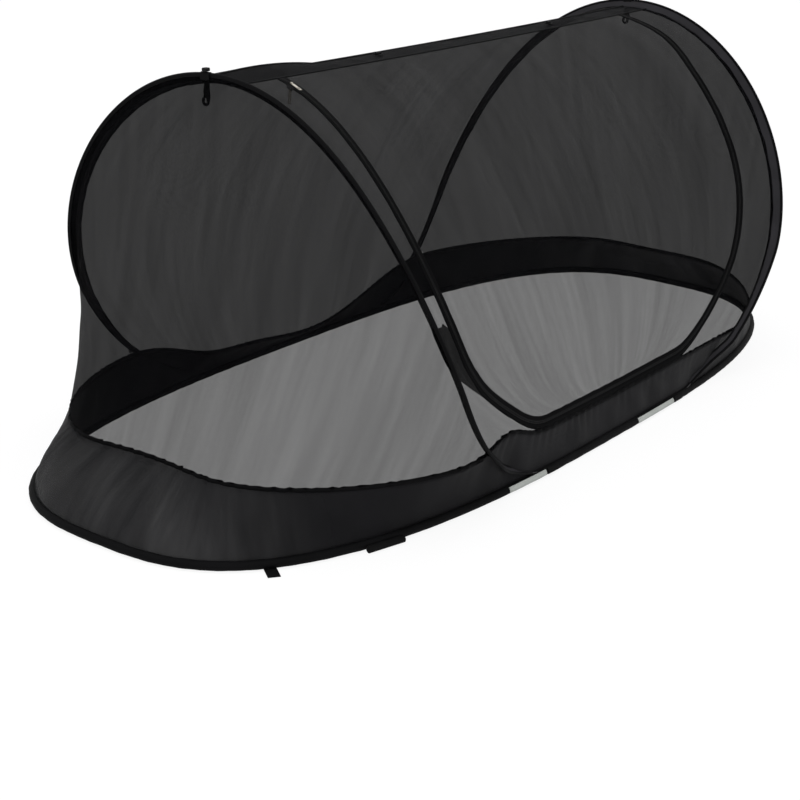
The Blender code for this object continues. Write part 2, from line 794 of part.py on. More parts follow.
def build_hook(end, label, pin_place):
    """Plastic hook that swings on the tape's pin."""
    axes = (np.array([1.0, 0, 0]), np.array([0, 1.0, 0]), np.array([0, 0, 1.0]))
    rod = hook_rod / 2
    eye_inner = hook_pin_diameter / 2 + gap
    eye_outer = eye_inner + hook_eye_wall
    stem_foot = -eye_outer - hook_stem_length
    path = [(0, -eye_inner - hook_eye_wall / 2), (0, stem_foot)]
    for part in range(1, hook_parts + 1):
        angle = math.pi * part / hook_parts
        aside = hook_bend_radius * (1 - math.cos(angle))
        path.append((aside, stem_foot - hook_bend_radius * math.sin(angle)))
    path.append((2 * hook_bend_radius, stem_foot + hook_tip_length))
    points = [pin_place + axes[1] * a + axes[2] * b for a, b in path]
    angles = [2 * math.pi * (side + 0.5) / hook_parts for side in range(hook_parts)]
    rings = []
    for point, along in zip(points, tangents(points)):
        across = np.cross(axes[0], along)
        rings.append([
            point + rod * (math.cos(angle) * axes[0] + math.sin(angle) * across) for angle in angles
        ])
    hook = add_sweep(f"{label}_hook", rings, hook_plastic)
    pin_frame = (pin_place, axes[0], axes[2], axes[1])
    eye = add_drum("eye", pin_frame, eye_outer, -rod, rod, hook_plastic, pin_sides)
    apply_boolean(hook, eye, "UNION")
    bore = add_drum("bore", pin_frame, eye_inner, -2 * rod, 2 * rod, hook_plastic, pin_sides)
    apply_boolean(hook, bore, "DIFFERENCE")
    set_origin(hook, pin_place)


def build_side_nets():
    """Far net, near net either side of the door, the door and the ridge band."""
    places = band_tops[::-1][:side_stations + 1, 0] / crossing_x
    places[0], places[-1] = 0, 1
    columns = [0.5 - place / 2 for place in places[::-1]] + [0.5 + place / 2 for place in places[1:]]
    grid = [[side_net(u, row / net_rows, 1) for u in columns] for row in range(net_rows + 1)]
    add_sheet("far_net", grid, net_fabric, black_net)

    left_count = len(left_shares)
    for label, stations, first_index, edge in (
        ("near_foot_net", left_shares, 0, 0),
        ("near_head_net", right_shares, len(zip_stations) - left_count, 1),
    ):
        grid = []
        for step, (u, v) in enumerate(stations):
            row_share = (net_rows - step if edge == 0 else step) / net_rows
            start, stop = side_leg(row_share, -1, 1 if edge else -1), zip_edge(first_index + step, 1)
            row = []
            for column in range(strip_columns + 1):
                s = column / strip_columns
                pair = (edge + (u - edge) * s, row_share + (v - row_share) * s)
                row.append(corrected(pair, start, stop, (edge, row_share), (u, v), s))
            grid.append(row)
        add_sheet(label, grid, net_fabric, black_net)

    build_door(left_count)

    reach = abs(seam_point(crown, -1, ridge_fabric)[0])
    grid = []
    for side in (-1, 0, 1):
        row = []
        for column in range(ridge_columns):
            share = column / (ridge_columns - 1)
            level = ridge_edge(share, -1)[2] - ridge_drop + (0 if side else ridge_crown)
            row.append(np.array([reach * (2 * share - 1), side * (ridge_edge_y - 2 * gap), level]))
        grid.append(row)
    add_sheet("ridge_band", grid, ridge_fabric, black_net)


def build_door(left_count):
    """Door net, row by row between the legs of the zip."""
    last = left_count - 1
    total = len(zip_stations)
    floor = [zip_edge(last + column, -1) for column in range(bottom_stations)]
    floor_pairs = [zip_stations[last + column] for column in range(bottom_stations)]
    floor_shift = [edge - side_net(*pair) for edge, pair in zip(floor, floor_pairs)]
    grid = []
    for step in range(left_count):
        left_index, right_index = step, total - 1 - step
        left_pair, right_pair = zip_stations[left_index], zip_stations[right_index]
        start, stop = zip_edge(left_index, -1), zip_edge(right_index, -1)
        row = []
        for column in range(bottom_stations):
            s = column / (bottom_stations - 1)
            pair = tuple(a + (b - a) * s for a, b in zip(left_pair, right_pair))
            point = corrected(pair, start, stop, left_pair, right_pair, s)
            pull = (step / last) ** 3
            sides = (1 - s) * floor_shift[0] + s * floor_shift[-1]
            row.append(point + pull * (floor_shift[column] - sides))
        grid.append(row)
    door = add_sheet("door_net", grid[::-1], net_fabric, black_net)
    hinge = ridge_edge(0.5, -1)
    set_origin(door, tuple(hinge))
    tape_rings = [zip_ring(station, -1) for station in range(total)]
    tape = add_sweep("zip_tape_door", tape_rings, zip_cloth)
    set_origin(tape, tuple(hinge))
    add_sweep("zip_tape_frame", [zip_ring(station, 1) for station in range(total)], zip_cloth)


def zip_frame(distance):
    """Place and directions on the left leg, at a distance below the ridge."""
    steps = np.linalg.norm(np.diff(np.array(zip_centres), axis=0), axis=1)
    run = np.concatenate([[0], np.cumsum(steps)])
    place = np.interp(distance, run, range(len(run)))
    low, share = int(place), place - int(place)
    corners = []
    for side, corner in ((1, 1), (-1, 1), (1, 6), (-1, 6)):
        first, second = zip_ring(low, side)[corner], zip_ring(low + 1, side)[corner]
        corners.append(first + (second - first) * share)
    centre = sum(corners) / 4
    along = unit(zip_centres[low + 1] - zip_centres[low])
    normal = unit(corners[2] + corners[3] - corners[0] - corners[1])
    normal = unit(normal - along * np.dot(normal, along))
    return centre, along, np.cross(normal, along), normal


def place_at(made, origin, first, second, third):
    """Turn a form made about the origin to three directions and set it down at a point on its axis."""
    turn = Matrix((first, second, third)).transposed()
    made.data.transform(turn.to_4x4())
    made.location = origin


def build_slider():
    """Zip slider with a plate on each face, a post between the tapes, and two bails."""
    centre, along, across, normal = zip_frame(slider_from_ridge)
    first, second, third = np.identity(3)
    frame = (np.zeros(3), first, second, third)
    inner = zip_tooth_height / 2 + gap
    outer = inner + slider_plate
    half_long, half_wide = slider_length / 2, slider_width / 2
    upper_low, upper_high = (-half_long, -half_wide, inner), (half_long, half_wide, outer)
    slider = add_block("zip_slider", frame, upper_low, upper_high, bright_metal)
    lower_low, lower_high = (-half_long, -half_wide, -outer), (half_long, half_wide, -inner)
    lower = add_block("lower", frame, lower_low, lower_high, bright_metal)
    post_low = (-half_long, -slider_post_width / 2, -outer + slider_plate / 2)
    post_high = (-half_long + slider_post_length, slider_post_width / 2, outer - slider_plate / 2)
    apply_boolean(slider, add_block("post", frame, post_low, post_high, bright_metal), "UNION")
    apply_boolean(slider, lower, "UNION")
    barrel = bail_pin / 2 + gap + pull_barrel_wall
    pin_height = outer + gap + barrel
    wall_start = pull_barrel_length / 2 + gap
    wall_levels = (outer - slider_plate / 2, pin_height + bail_pin)
    for face, name in ((1, "outer"), (-1, "inner")):
        low_level, high_level = sorted(face * level for level in wall_levels)
        for side in (-1, 1):
            low_side, high_side = sorted((side * wall_start, side * (wall_start + bail_wall)))
            low, high = (-bail_pin, low_side, low_level), (bail_pin, high_side, high_level)
            apply_boolean(slider, add_block("wall", frame, low, high, bright_metal), "UNION")
        pin_frame = (third * face * pin_height, first, third, second)
        reach = wall_start + bail_wall / 2
        pin = add_drum("pin", pin_frame, bail_pin / 2, -reach, reach, bright_metal)
        apply_boolean(slider, pin, "UNION")
        hanging, away = along, normal
        if face < 0:
            down = np.array([0, 0, -1.0])
            hanging = unit(down - across * np.dot(down, across))
            away = np.cross(hanging, across)
        pin_place = centre + normal * face * pin_height
        place_at(build_pull(name, barrel), pin_place, hanging, across, away)
    place_at(slider, centre, along, across, normal)


def build_pull(name, barrel):
    """Flat pull that runs along the first axis from a barrel round its pin."""
    first, second, third = np.identity(3)
    frame = (np.zeros(3), first, second, third)
    round_pin = (np.zeros(3), first, third, second)
    half_barrel = pull_barrel_length / 2
    pull = add_drum(f"{name}_zip_pull", round_pin, barrel, -half_barrel, half_barrel, bright_metal, pin_sides)
    neck, shoulder = half_barrel - gap, barrel + pull_shoulder
    outline = (
        (0, -neck), (shoulder, -neck), (shoulder, -pull_width / 2), (pull_length, -pull_width / 2),
        (pull_length, pull_width / 2), (shoulder, pull_width / 2), (shoulder, neck), (0, neck),
    )
    plate = [[np.array([a, b, side * pull_thickness / 2]) for a, b in outline] for side in (-1, 1)]
    apply_boolean(pull, add_sweep("plate", plate, bright_metal), "UNION")
    bore = add_drum("bore", round_pin, bail_pin / 2 + gap, -pull_width, pull_width, bright_metal, pin_sides)
    apply_boolean(pull, bore, "DIFFERENCE")
    hole_end = pull_length - pull_hole_width
    hole_low = (hole_end - pull_hole_length, -pull_hole_width / 2, -pull_width)
    hole_high = (hole_end, pull_hole_width / 2, pull_width)
    apply_boolean(pull, add_block("hole", frame, hole_low, hole_high, bright_metal), "DIFFERENCE")
    return pull


def build_small_parts():
    """Ties on the ridge, grey patches and keepers on the rim, and the bed straps."""
    up = np.array([0, 0, 1.0])
    axes = (np.array([1.0, 0, 0]), np.array([0, 1.0, 0]), up)
    for label, x in zip(("foot", "head"), door_tie_places):
        reach = abs(seam_leg[-1][0])
        share = (x + reach) / (2 * reach)
        top = ridge_edge(share, -1)
        seat = top[2] - ridge_drop + ridge_crown + ridge_fabric / 2 + gap
        place = np.array([x, 0, seat])
        half = door_tie_width / 2
        tie_low = (-half, -door_tie_length / 2, 0)
        tie_high = (half, door_tie_length / 2, door_tie_thickness)
        add_block(f"{label}_door_tie", (place, *axes), tie_low, tie_high, strap_web)
        rise = door_tie_thickness + gap + toggle_diameter / 2
        bar_place = place + up * rise
        add_drum(f"{label}_toggle", (bar_place, axes[1], up, axes[0]), toggle_diameter / 2,
                 -toggle_length / 2, toggle_length / 2, hook_plastic)

    for half, label in enumerate(("foot", "head")):
        patch = (patch_places[half], patch_lengths[half], patch_thickness, grey_tape)
        add_wrap(f"{label}_grey_patch", *patch)
        add_wrap(f"{label}_keeper", keeper_places[half], keeper_length, keeper_thickness, strap_web)

    mirror = np.array([-1.0, 1.0, 1.0])
    radius = bed_roll_diameter / 2
    flat = math.pi / pin_sides
    for name, place in (("bed_tab", bed_tab_place), ("bed_tie_roll", bed_roll_place)):
        spot = near_rim(place)
        along = unit(near_rim(place + rim_radius) - spot)
        outward = -inward_of(along)
        if name == "bed_tab":
            start = rim_reach(bed_tab_thickness) + gap
            centre = (spot + outward * start) * mirror
            centre[2] = 0
            half = bed_tab_width / 2
            frame = (centre, along * mirror, outward * mirror, up)
            add_block(name, frame, (-half, 0, 0), (half, bed_tab_length, bed_tab_thickness), strap_web)
        else:
            level = radius * math.cos(flat)
            start = rim_reach(level + radius * math.sin(flat)) + gap + level
            centre = (spot + outward * start) * mirror
            centre[2] = level
            frame = (centre, outward * mirror, up, along * mirror)
            add_drum(name, frame, radius, -bed_roll_length / 2, bed_roll_length / 2, strap_web, pin_sides)


def near_rim(x):
    """Point on the rim sleeve's centre line along the near side of either half."""
    line = rim_path[:len(rim_path) // 2]
    return np.array([x] + [np.interp(abs(x), line[:, 0], line[:, axis]) for axis in (1, 2)])


def rim_reach(height):
    """How far the rim sleeve stands out from its centre line at a height above the floor."""
    angles = [rim_step * (side + 0.5) for side in range(3)]
    levels = [rim_height - rim_radius * math.cos(angle) for angle in angles]
    return np.interp(height, levels, [rim_radius * math.sin(angle) for angle in angles])


def add_wrap(name, place, length, thickness, finish):
    """Strip bent over the outer side of the near rim sleeve."""
    angles = [
        wrap_middle_angle + wrap_half_angle * (2 * part / wrap_parts - 1) for part in range(wrap_parts + 1)
    ]
    rings = []
    for station in range(wrap_stations):
        centre = near_rim(place + length * (station / (wrap_stations - 1) - 0.5))
        outline = []
        for radius, turn in ((rim_radius + gap, 1), (rim_radius + gap + thickness, -1)):
            outline += [(radius * math.cos(angle), radius * math.sin(angle)) for angle in angles][::turn]
        rings.append([centre + np.array([0, a, b]) for a, b in outline])
    add_sweep(name, rings, finish)


for end, label in ((1, "head"), (-1, "foot")):
    build_end(end, label)
build_side_nets()
build_gusset(-1, "near")
build_gusset(1, "far")
build_slider()
build_small_parts()
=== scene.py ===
"""Looks of the pop-up mosquito net tent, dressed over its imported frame."""

import math

import bmesh
import bpy
import numpy as np
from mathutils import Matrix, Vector


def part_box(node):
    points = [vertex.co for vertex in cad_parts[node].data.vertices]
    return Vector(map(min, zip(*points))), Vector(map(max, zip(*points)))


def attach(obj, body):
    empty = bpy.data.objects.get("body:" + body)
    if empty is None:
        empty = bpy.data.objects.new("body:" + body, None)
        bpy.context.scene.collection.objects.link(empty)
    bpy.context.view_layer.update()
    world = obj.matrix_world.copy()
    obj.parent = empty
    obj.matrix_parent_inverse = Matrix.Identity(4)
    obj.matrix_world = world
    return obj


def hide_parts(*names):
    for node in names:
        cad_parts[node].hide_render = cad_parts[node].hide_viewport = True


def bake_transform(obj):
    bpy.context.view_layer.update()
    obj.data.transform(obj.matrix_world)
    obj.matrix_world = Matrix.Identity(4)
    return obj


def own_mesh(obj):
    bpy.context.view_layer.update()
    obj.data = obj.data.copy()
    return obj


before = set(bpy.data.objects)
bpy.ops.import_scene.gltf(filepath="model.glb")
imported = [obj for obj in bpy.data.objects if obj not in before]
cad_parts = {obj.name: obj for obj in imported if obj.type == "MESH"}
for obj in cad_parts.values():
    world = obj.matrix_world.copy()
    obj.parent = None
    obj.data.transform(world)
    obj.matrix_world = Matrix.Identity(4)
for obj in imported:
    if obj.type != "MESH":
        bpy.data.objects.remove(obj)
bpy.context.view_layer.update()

# Sizes in metres, most of them shared with the frame
gap = 0.0003
base_length = 2.28
base_width = 0.954
rim_squareness = 2.9
rim_sleeve_diameter = 0.020
rim_height = 0.00937
hoop_height = 0.834
hoop_spread = 1.595
hoop_foot_spread = 0.203
hoop_width = 1.005
hoop_widest_height = 0.284
hoop_lean_power = 0.68
hoop_round_power = 1.64
hoop_leaves_rim_height = 0.020
hoop_free_height = 0.100
wire_diameter = 0.0035
wire_drop = 0.004
sleeve_radius = 0.00325
sleeve_start_height = 0.0216
flap_width = 0.013
flap_end_width = 0.003
flap_half = 0.0017
flap_in_view = 0.0052
band_height_middle = {-1: 0.092, 1: 0.046}
band_inset_middle = {-1: 0.022, 1: 0.058}
band_height_hoop = 0.112
band_height_end = 0.130
band_inset_end = 0.150
band_bow_power = 1.6
band_thickness = 0.0006
band_seat_side = 0.0024
band_seat_height = 0.0151
binding_inset_at_hoop = 0.0045
binding_height = 0.008
binding_thickness = 0.0028
net_fabric = 0.0008
net_lift = 0.006
net_tuck = (0.0022, 0.0008)
net_tail_height = 0.0035
ridge_half_width = 0.036
ridge_sag = 0.005
side_net_flat_share = 0.35
end_net_hollow = 0.030
zip_tape_half = 0.0125

# Humps, as height, middle and spread: along x, along the far ridge, up the net and along the tape
near_band_lift = (0.032, -0.47, 0.085)
far_band_slump = (-0.026, -0.33, 0.12)
far_ridge_rise = (0.0125, 0.09, 0.11)
zip_draw = (0.014, 0.86, 0.10)
tape_end_flare = (0.004, 0.058, 0.014)

# Rows of stitches and teeth: pitch, then the length, width and height of one
bar_kinds = {
    "rim": (0.0046, (0.0032, 0.0007, 0.0006)),
    "hoop": (0.0046, (0.0032, 0.0006, 0.0005)),
    "hem": (0.0034, (0.0050, 0.0007, 0.0006)),
    "band": (0.0032, (0.0062, 0.0007, 0.0006)),
    "zip": (0.0042, (0.0029, 0.0006, 0.0005)),
    "teeth": (0.0019, (0.0034, 0.0014, 0.0024)),
    "patch": (0.0036, (0.0026, 0.0006, 0.0005)),
}
fray_size = (0.0130, 0.0012, 0.0008)

# Places from -1 to 1 along a hoop, how far the hem leans in at each, in degrees, and the hem's widths
hem_places = (-1, -0.6, -0.3, -0.12, 0, 0.12, 0.3, 1)
hem_degrees = (42, 38, 32, 48, 48, 34, 22, 20)
hem_width, hem_end_width = 0.025, 0.004

# Zip places, as shares of the near net
zip_left_share = 0.040
zip_left_top_share = 0.048
zip_left_corner = (0.185, 0.25)
zip_right_share = 0.905
zip_right_corner = (0.18, 0.48)
zip_leg_steps = 40
zip_corner_steps = 24
zip_floor_steps = 56
flap_low, flap_high = 0.115, 0.36

# Camera and light
camera_place = (-3.1038, -2.0915, 1.3748)
camera_forward = (0.7606, 0.5446, -0.3535)
camera_right = (0.592, -0.8054, 0.033)
camera_lens = 75.56
world_light, world_extra_in_view = 0.85, 0.17
floor_glow, floor_glow_share = 1.065, 0.815
lamp_aim = (0, 0, 0.35)

upright = np.array([0, 0, 1.0])
half_length = base_length / 2 - rim_sleeve_diameter / 2
half_width = base_width / 2 - rim_sleeve_diameter / 2
binding_base = 0.0008
net_foot_rise = binding_base + binding_height + net_fabric / 2 + gap
net_start_height = band_height_hoop + net_foot_rise + net_lift
crown_height = hoop_height - sleeve_radius


def unit(vector):
    """The vector at length one."""
    return vector / np.linalg.norm(vector)


def smooth_step(share):
    """Ease from 0 to 1."""
    share = min(max(share, 0), 1)
    return share * share * (3 - 2 * share)


def mix(first, second, share):
    """A share of the way from one value to another."""
    return first + (second - first) * share


def hump(place, height, middle, spread):
    """A smooth hump that is at its height in its middle."""
    return height * math.exp(-((place - middle) / spread) ** 2)


def run_along(points):
    """Length from the start of a polyline to each of its points."""
    steps = np.linalg.norm(np.diff(np.array(points), axis=0), axis=1)
    return np.concatenate([[0], np.cumsum(steps)])


def resample(points, count):
    """Points at equal steps along a dense polyline."""
    points = np.array(points)
    run = run_along(points[:, :3])
    wanted = np.linspace(0, run[-1], count)
    return np.stack([np.interp(wanted, run, column) for column in points.T], axis=1)


def line_length(points):
    """Length of a polyline."""
    return float(np.linalg.norm(np.diff(np.array(points), axis=0), axis=1).sum())


def tangents(points, closed=False):
    """Unit directions along a polyline."""
    points = np.array(points)
    if closed:
        steps = np.roll(points, -1, axis=0) - np.roll(points, 1, axis=0)
    else:
        steps = np.gradient(points, axis=0)
    return [unit(step) for step in steps]


def ruffle(run, seed, shortest, longest):
    """Uneven waves between -1 and 1 along a length, the same on every run."""
    numbers = np.random.default_rng(seed)
    total = 0
    for _ in range(7):
        wave = numbers.uniform(shortest, longest)
        total = total + math.sin(2 * math.pi * run / wave + numbers.uniform(0, 2 * math.pi))
    return total / 4


# Curves of the tent

def rim_line(count=400):
    """Centre of the rim sleeve from the middle of the near side, round the head end, to the far side."""
    power = 2 / rim_squareness
    line = []
    for step in range(count + 1):
        angle = -math.pi / 2 + math.pi * step / count
        across = abs(math.cos(angle)) ** power if 0 < step < count else 0
        aside = math.copysign(abs(math.sin(angle)) ** power, math.sin(angle))
        line.append((half_length * across, half_width * aside, rim_height))
    return np.array(line)


def rim_half_width(x):
    """Half the width between the rim's centre lines, at a distance from the middle."""
    reach = min(abs(x) / half_length, 1)
    return half_width * (1 - reach ** rim_squareness) ** (1 / rim_squareness)


def inward_of(along):
    """Level direction from the rim to the inside."""
    return unit(np.cross(upright, along))


def hoop_point(angle):
    """Wire centre of the near leg of the head hoop."""
    height = crown_height * (1 - math.cos(angle))
    reach = (hoop_spread - hoop_foot_spread) / 2 * math.sin(angle) ** hoop_lean_power
    x = hoop_foot_spread / 2 + reach
    if height > hoop_widest_height:
        up = (height - hoop_widest_height) / (crown_height - hoop_widest_height)
        free = hoop_width / 2 * math.sqrt(max(0, 1 - up ** hoop_round_power))
    else:
        swell = (hoop_width - base_width) / 2
        free = base_width / 2 + swell * math.sin(math.pi / 2 * height / hoop_widest_height)
    held = rim_half_width(x) + wire_diameter / 2
    ease = smooth_step((height - hoop_leaves_rim_height) / (hoop_free_height - hoop_leaves_rim_height))
    return np.array([x, -(held + (free - held) * ease), height])


def hoop_leg(first_height, steps=600):
    """Dense wire centres and climbing directions of the near leg, from a height to the crown."""
    start = math.acos(1 - first_height / crown_height)
    nudge = (math.pi / 2 - start) / steps / 4
    rows = []
    for step in range(steps + 1):
        angle = math.pi / 2 - (math.pi / 2 - start) * (1 - step / steps) ** 2
        ahead = min(angle + nudge, math.pi / 2)
        climb = hoop_point(ahead) - hoop_point(ahead - 2 * nudge)
        climb[1] = 0
        rows.append(np.concatenate([hoop_point(angle), unit(climb)]))
    return np.array(rows)


def frames_of(rows):
    """Centres with their inward and outward directions, from rows of place and climb."""
    frames = []
    for row, along in zip(rows, tangents(rows[:, :3])):
        outward = np.array([row[5], 0, -row[3]])
        outward = unit(outward - along * np.dot(outward, along))
        frames.append((row[:3], np.cross(along, outward), outward))
    return frames


def over_crown(rows):
    """Rows of the near leg, carried on down the far leg."""
    far = rows[::-1][1:].copy()
    far[:, 1] *= -1
    return np.concatenate([rows, far])


def flap_at(height):
    """Width of the sleeve's sewn flap."""
    share = smooth_step((height - sleeve_start_height) / (hoop_free_height - sleeve_start_height))
    return mix(flap_end_width, flap_width, share)


def seam_point(hoop_frame, side, thickness):
    """Where cloth meets the flap's tip, towards the end (1) or towards the middle (-1)."""
    centre, inward, outward = hoop_frame
    reach = flap_at(centre[2]) + thickness / 2 + gap
    return centre + inward * reach + outward * side * (thickness + gap) / 2


def tucked_point(hoop_frame, side):
    """Where a net's edge ends inside the sleeve."""
    centre, inward, outward = hoop_frame
    return centre + inward * net_tuck[0] + outward * side * net_tuck[1]


leg_rows = hoop_leg(sleeve_start_height)
first_row = int(np.argmax(leg_rows[:, 2] >= net_start_height))
last_row = int(np.argmax(np.abs(leg_rows[:, 1]) <= ridge_half_width + gap))
hoop_frames = frames_of(over_crown(resample(leg_rows, 120)))
hoop_run = run_along([centre for centre, _, _ in hoop_frames])
net_rows = resample(leg_rows[first_row:last_row + 1], 121)
seam_leg = np.array([seam_point(item, -1, net_fabric) for item in frames_of(net_rows)])
tucked_leg = np.array([tucked_point(item, -1) for item in frames_of(net_rows)])
ridge_edge_y = abs(seam_leg[-1][1])
crown = hoop_frames[len(hoop_frames) // 2]
crossing_x = seam_leg[0][0]
crossing_y = abs(seam_leg[0][1]) - binding_thickness / 2 - binding_inset_at_hoop
ridge_crown = seam_point(crown, -1, net_fabric)[2] - seam_leg[-1][2]


def band_top(x, side):
    """Half width and height of the band's top edge between the hoops."""
    share = smooth_step(abs(x) / crossing_x)
    middle_y = half_width + rim_sleeve_diameter / 2 - band_inset_middle[side]
    height = band_height_middle[side]
    return mix(middle_y, crossing_y, share), mix(height, band_height_hoop, share)


def band_lift(x, y):
    """Height that the band gains at the zip's foot corner, and loses where it slumps on the far side."""
    return hump(x, *(near_band_lift if y < 0 else far_band_slump))


def band_line(side_count, end_count):
    """Rim centre with the band's foot and top edges, round the head end from near to far middle."""
    dense = rim_line()
    along = tangents(dense)
    run = run_along(dense)
    near_cross = int(np.argmax(dense[:, 0] >= crossing_x))
    crossing, middle = run[near_cross], run[-1] / 2
    rows = []
    for point, direction, place in zip(dense, along, run):
        side = -1 if place < middle else 1
        inward = inward_of(direction)
        foot = point + inward * band_seat_side
        foot[2] = band_seat_height
        reach = min(place, run[-1] - place)
        if reach <= crossing:
            y, height = band_top(point[0], side)
            top = np.array([point[0], side * y, height])
        else:
            share = smooth_step((reach - crossing) / (middle - crossing))
            first_inset = rim_half_width(crossing_x) - crossing_y
            top = point + inward * mix(first_inset, band_inset_end - rim_sleeve_diameter / 2, share)
            top[2] = mix(band_height_hoop, band_height_end, share)
        rows.append(np.concatenate([point, foot, top]))
    rows = np.array(rows)
    far_cross = len(rows) - 1 - near_cross
    near = resample(rows[:near_cross + 1], side_count + 1)[:-1]
    round_end = resample(rows[near_cross:far_cross + 1], end_count + 1)
    far = resample(rows[far_cross:], side_count + 1)[1:]
    return np.concatenate([near, round_end, far])


def full_ring(line):
    """The head half carried on round the foot end, back to where it starts."""
    foot = line[::-1][1:-1].copy()
    foot[:, ::3] *= -1
    return np.concatenate([line, foot])


band_half = band_line(60, 160)
band_ring = full_ring(band_half)
rim_ring, foot_ring, top_ring = band_ring[:, :3], band_ring[:, 3:6], band_ring[:, 6:]
top_half = band_half[:, 6:]
top_ring = np.array([[x, y, z + band_lift(x, y)] for x, y, z in top_ring])


def low_edge(share, side):
    """Lower edge of a side net, from the foot hoop to the head hoop."""
    x = crossing_x * (2 * share - 1)
    y, height = band_top(x, side)
    ease = smooth_step((abs(x) / crossing_x - 0.8) / 0.2)
    last_y, last_height = abs(seam_leg[0][1]), seam_leg[0][2]
    level = height + net_foot_rise
    lift = band_lift(x, side) * min(1, (crossing_x - abs(x)) / 0.05)
    return np.array([x, side * mix(y, last_y, ease), mix(level, last_height, ease) + lift])


def behind_binding(point):
    """Point of a net's lowest row, straight below one on its edge and behind the band's binding."""
    x, y, _ = point
    side = -1 if y < 0 else 1
    height = band_top(min(abs(x), crossing_x), side)[1]
    return np.array([x, y, height + band_lift(x, y) + net_tail_height])


def side_leg(share, side, end, leg=None):
    """Hoop edge of a side net, from band to ridge."""
    leg = seam_leg if leg is None else leg
    spread = np.linspace(0, 1, len(leg))
    point = np.array([np.interp(share, spread, column) for column in leg.T])
    return np.array([point[0] * end, -side * point[1], point[2]])


def ridge_edge(share, side):
    """Upper edge of a side net, along the ridge band."""
    last = seam_leg[-1]
    dip = ridge_sag * 4 * share * (1 - share)
    rise = 0
    if side > 0:
        height, middle, spread = far_ridge_rise
        rise = height * max(0, 1 - ((share - middle) / spread) ** 2) * smooth_step(share / 0.02)
    return np.array([last[0] * (2 * share - 1), side * ridge_edge_y, last[2] - dip + rise])


def side_net(u, v, side=-1):
    """Stretched surface between the hoops: u from foot to head, v from band to ridge."""
    foot, head = side_leg(v, side, -1), side_leg(v, side, 1)
    low_foot, low_head = side_leg(0, side, -1), side_leg(0, side, 1)
    top_foot, top_head = side_leg(1, side, -1), side_leg(1, side, 1)
    across = (1 - u) * foot + u * head
    upward = (1 - v) * low_edge(u, side) + v * ridge_edge(u, side)
    corners = (1 - v) * ((1 - u) * low_foot + u * low_head) + v * ((1 - u) * top_foot + u * top_head)
    bulge = foot - ((1 - v) * low_foot + v * top_foot)
    bulge[0] = 0
    return across + upward - corners - side_net_flat_share * 4 * u * (1 - u) * bulge


# Materials

def add_node(tree, kind, inputs, **settings):
    """A node with its settings, and its inputs fed."""
    node = tree.nodes.new(kind)
    for setting, value in settings.items():
        setattr(node, setting, value)
    feed(tree, node, inputs)
    return node


def feed(tree, node, inputs):
    """Join a node's inputs to sockets, or set them to plain values."""
    for label, value in inputs.items():
        if isinstance(value, bpy.types.NodeSocket):
            tree.links.new(value, node.inputs[label])
        else:
            node.inputs[label].default_value = value


def math_node(tree, operation, *values, clamp=False):
    """Result of a Math node fed by sockets or numbers."""
    inputs = dict(enumerate(values))
    return add_node(tree, "ShaderNodeMath", inputs, operation=operation, use_clamp=clamp).outputs[0]


def new_group(kind, name, inputs, outputs):
    """A node group with named sockets, what comes into it and the node that takes its result."""
    group = bpy.data.node_groups.new(name, kind)
    for way, sockets in (("INPUT", inputs), ("OUTPUT", outputs)):
        for label, socket in sockets.items():
            group.interface.new_socket(label, in_out=way, socket_type=f"NodeSocket{socket}")
    return group, group.nodes.new("NodeGroupInput").outputs, group.nodes.new("NodeGroupOutput")


def make_mesh_group():
    """Round holes of a knitted net in rows of threes, as a mask that is 1 in a hole."""
    group, given, result = new_group(
        "ShaderNodeTree", "knitted_holes",
        {"Vector": "Vector", "Pitch": "Float", "Hole": "Float", "Soft": "Float"}, {"Mask": "Float"},
    )
    turn = math_node(group, "DIVIDE", 4 * math.pi / math.sqrt(3), given["Pitch"])
    total = 0
    for step in range(3):
        angle = math.pi * step / 3
        way = (math.sin(angle), math.cos(angle), 0)
        dot = add_node(group, "ShaderNodeVectorMath", {0: given["Vector"], 1: way}, operation="DOT_PRODUCT")
        phase = math_node(group, "MULTIPLY", dot.outputs["Value"], turn)
        total = math_node(group, "ADD", total, math_node(group, "COSINE", phase))
    spread = add_node(group, "ShaderNodeMapRange", {
        "Value": total,
        "From Min": math_node(group, "SUBTRACT", given["Hole"], given["Soft"]),
        "From Max": math_node(group, "ADD", given["Hole"], given["Soft"]),
    }, interpolation_type="SMOOTHSTEP")
    feed(group, result, {"Mask": spread.outputs["Result"]})
    return group


def make_weave_group():
    """Plain weave of crossing threads, with slow unevenness. Height and a colour mask."""
    group, given, result = new_group(
        "ShaderNodeTree", "plain_weave",
        {"Vector": "Vector", "Threads": "Float", "Unevenness": "Float"},
        {"Height": "Float", "Patches": "Float"},
    )
    split = add_node(group, "ShaderNodeSeparateXYZ", {0: given["Vector"]})
    waves = []
    for axis in (0, 1):
        turn = math_node(group, "MULTIPLY", split.outputs[axis], given["Threads"])
        waves.append(math_node(group, "SINE", math_node(group, "MULTIPLY", turn, math.pi)))
    noise = add_node(group, "ShaderNodeTexNoise",
                     {"Detail": 3, "Vector": given["Vector"], "Scale": given["Unevenness"]})
    feed(group, result, {"Height": math_node(group, "MULTIPLY", *waves), "Patches": noise.outputs["Fac"]})
    return group


mesh_group = make_mesh_group()
weave_group = make_weave_group()


def new_material(name, colour, roughness, metallic=0.0, sheen=0.0, specular=0.5):
    """A material with its shader's plain values set, its node tree and its shader."""
    made = bpy.data.materials.new(name)
    made.use_nodes = True
    made.diffuse_color = (*colour, 1)
    shader = made.node_tree.nodes["Principled BSDF"]
    feed(made.node_tree, shader, {
        "Base Color": (*colour, 1), "Roughness": roughness, "Metallic": metallic,
        "Specular IOR Level": specular, "Sheen Weight": sheen, "Sheen Roughness": 0.5,
    })
    return made, made.node_tree, shader


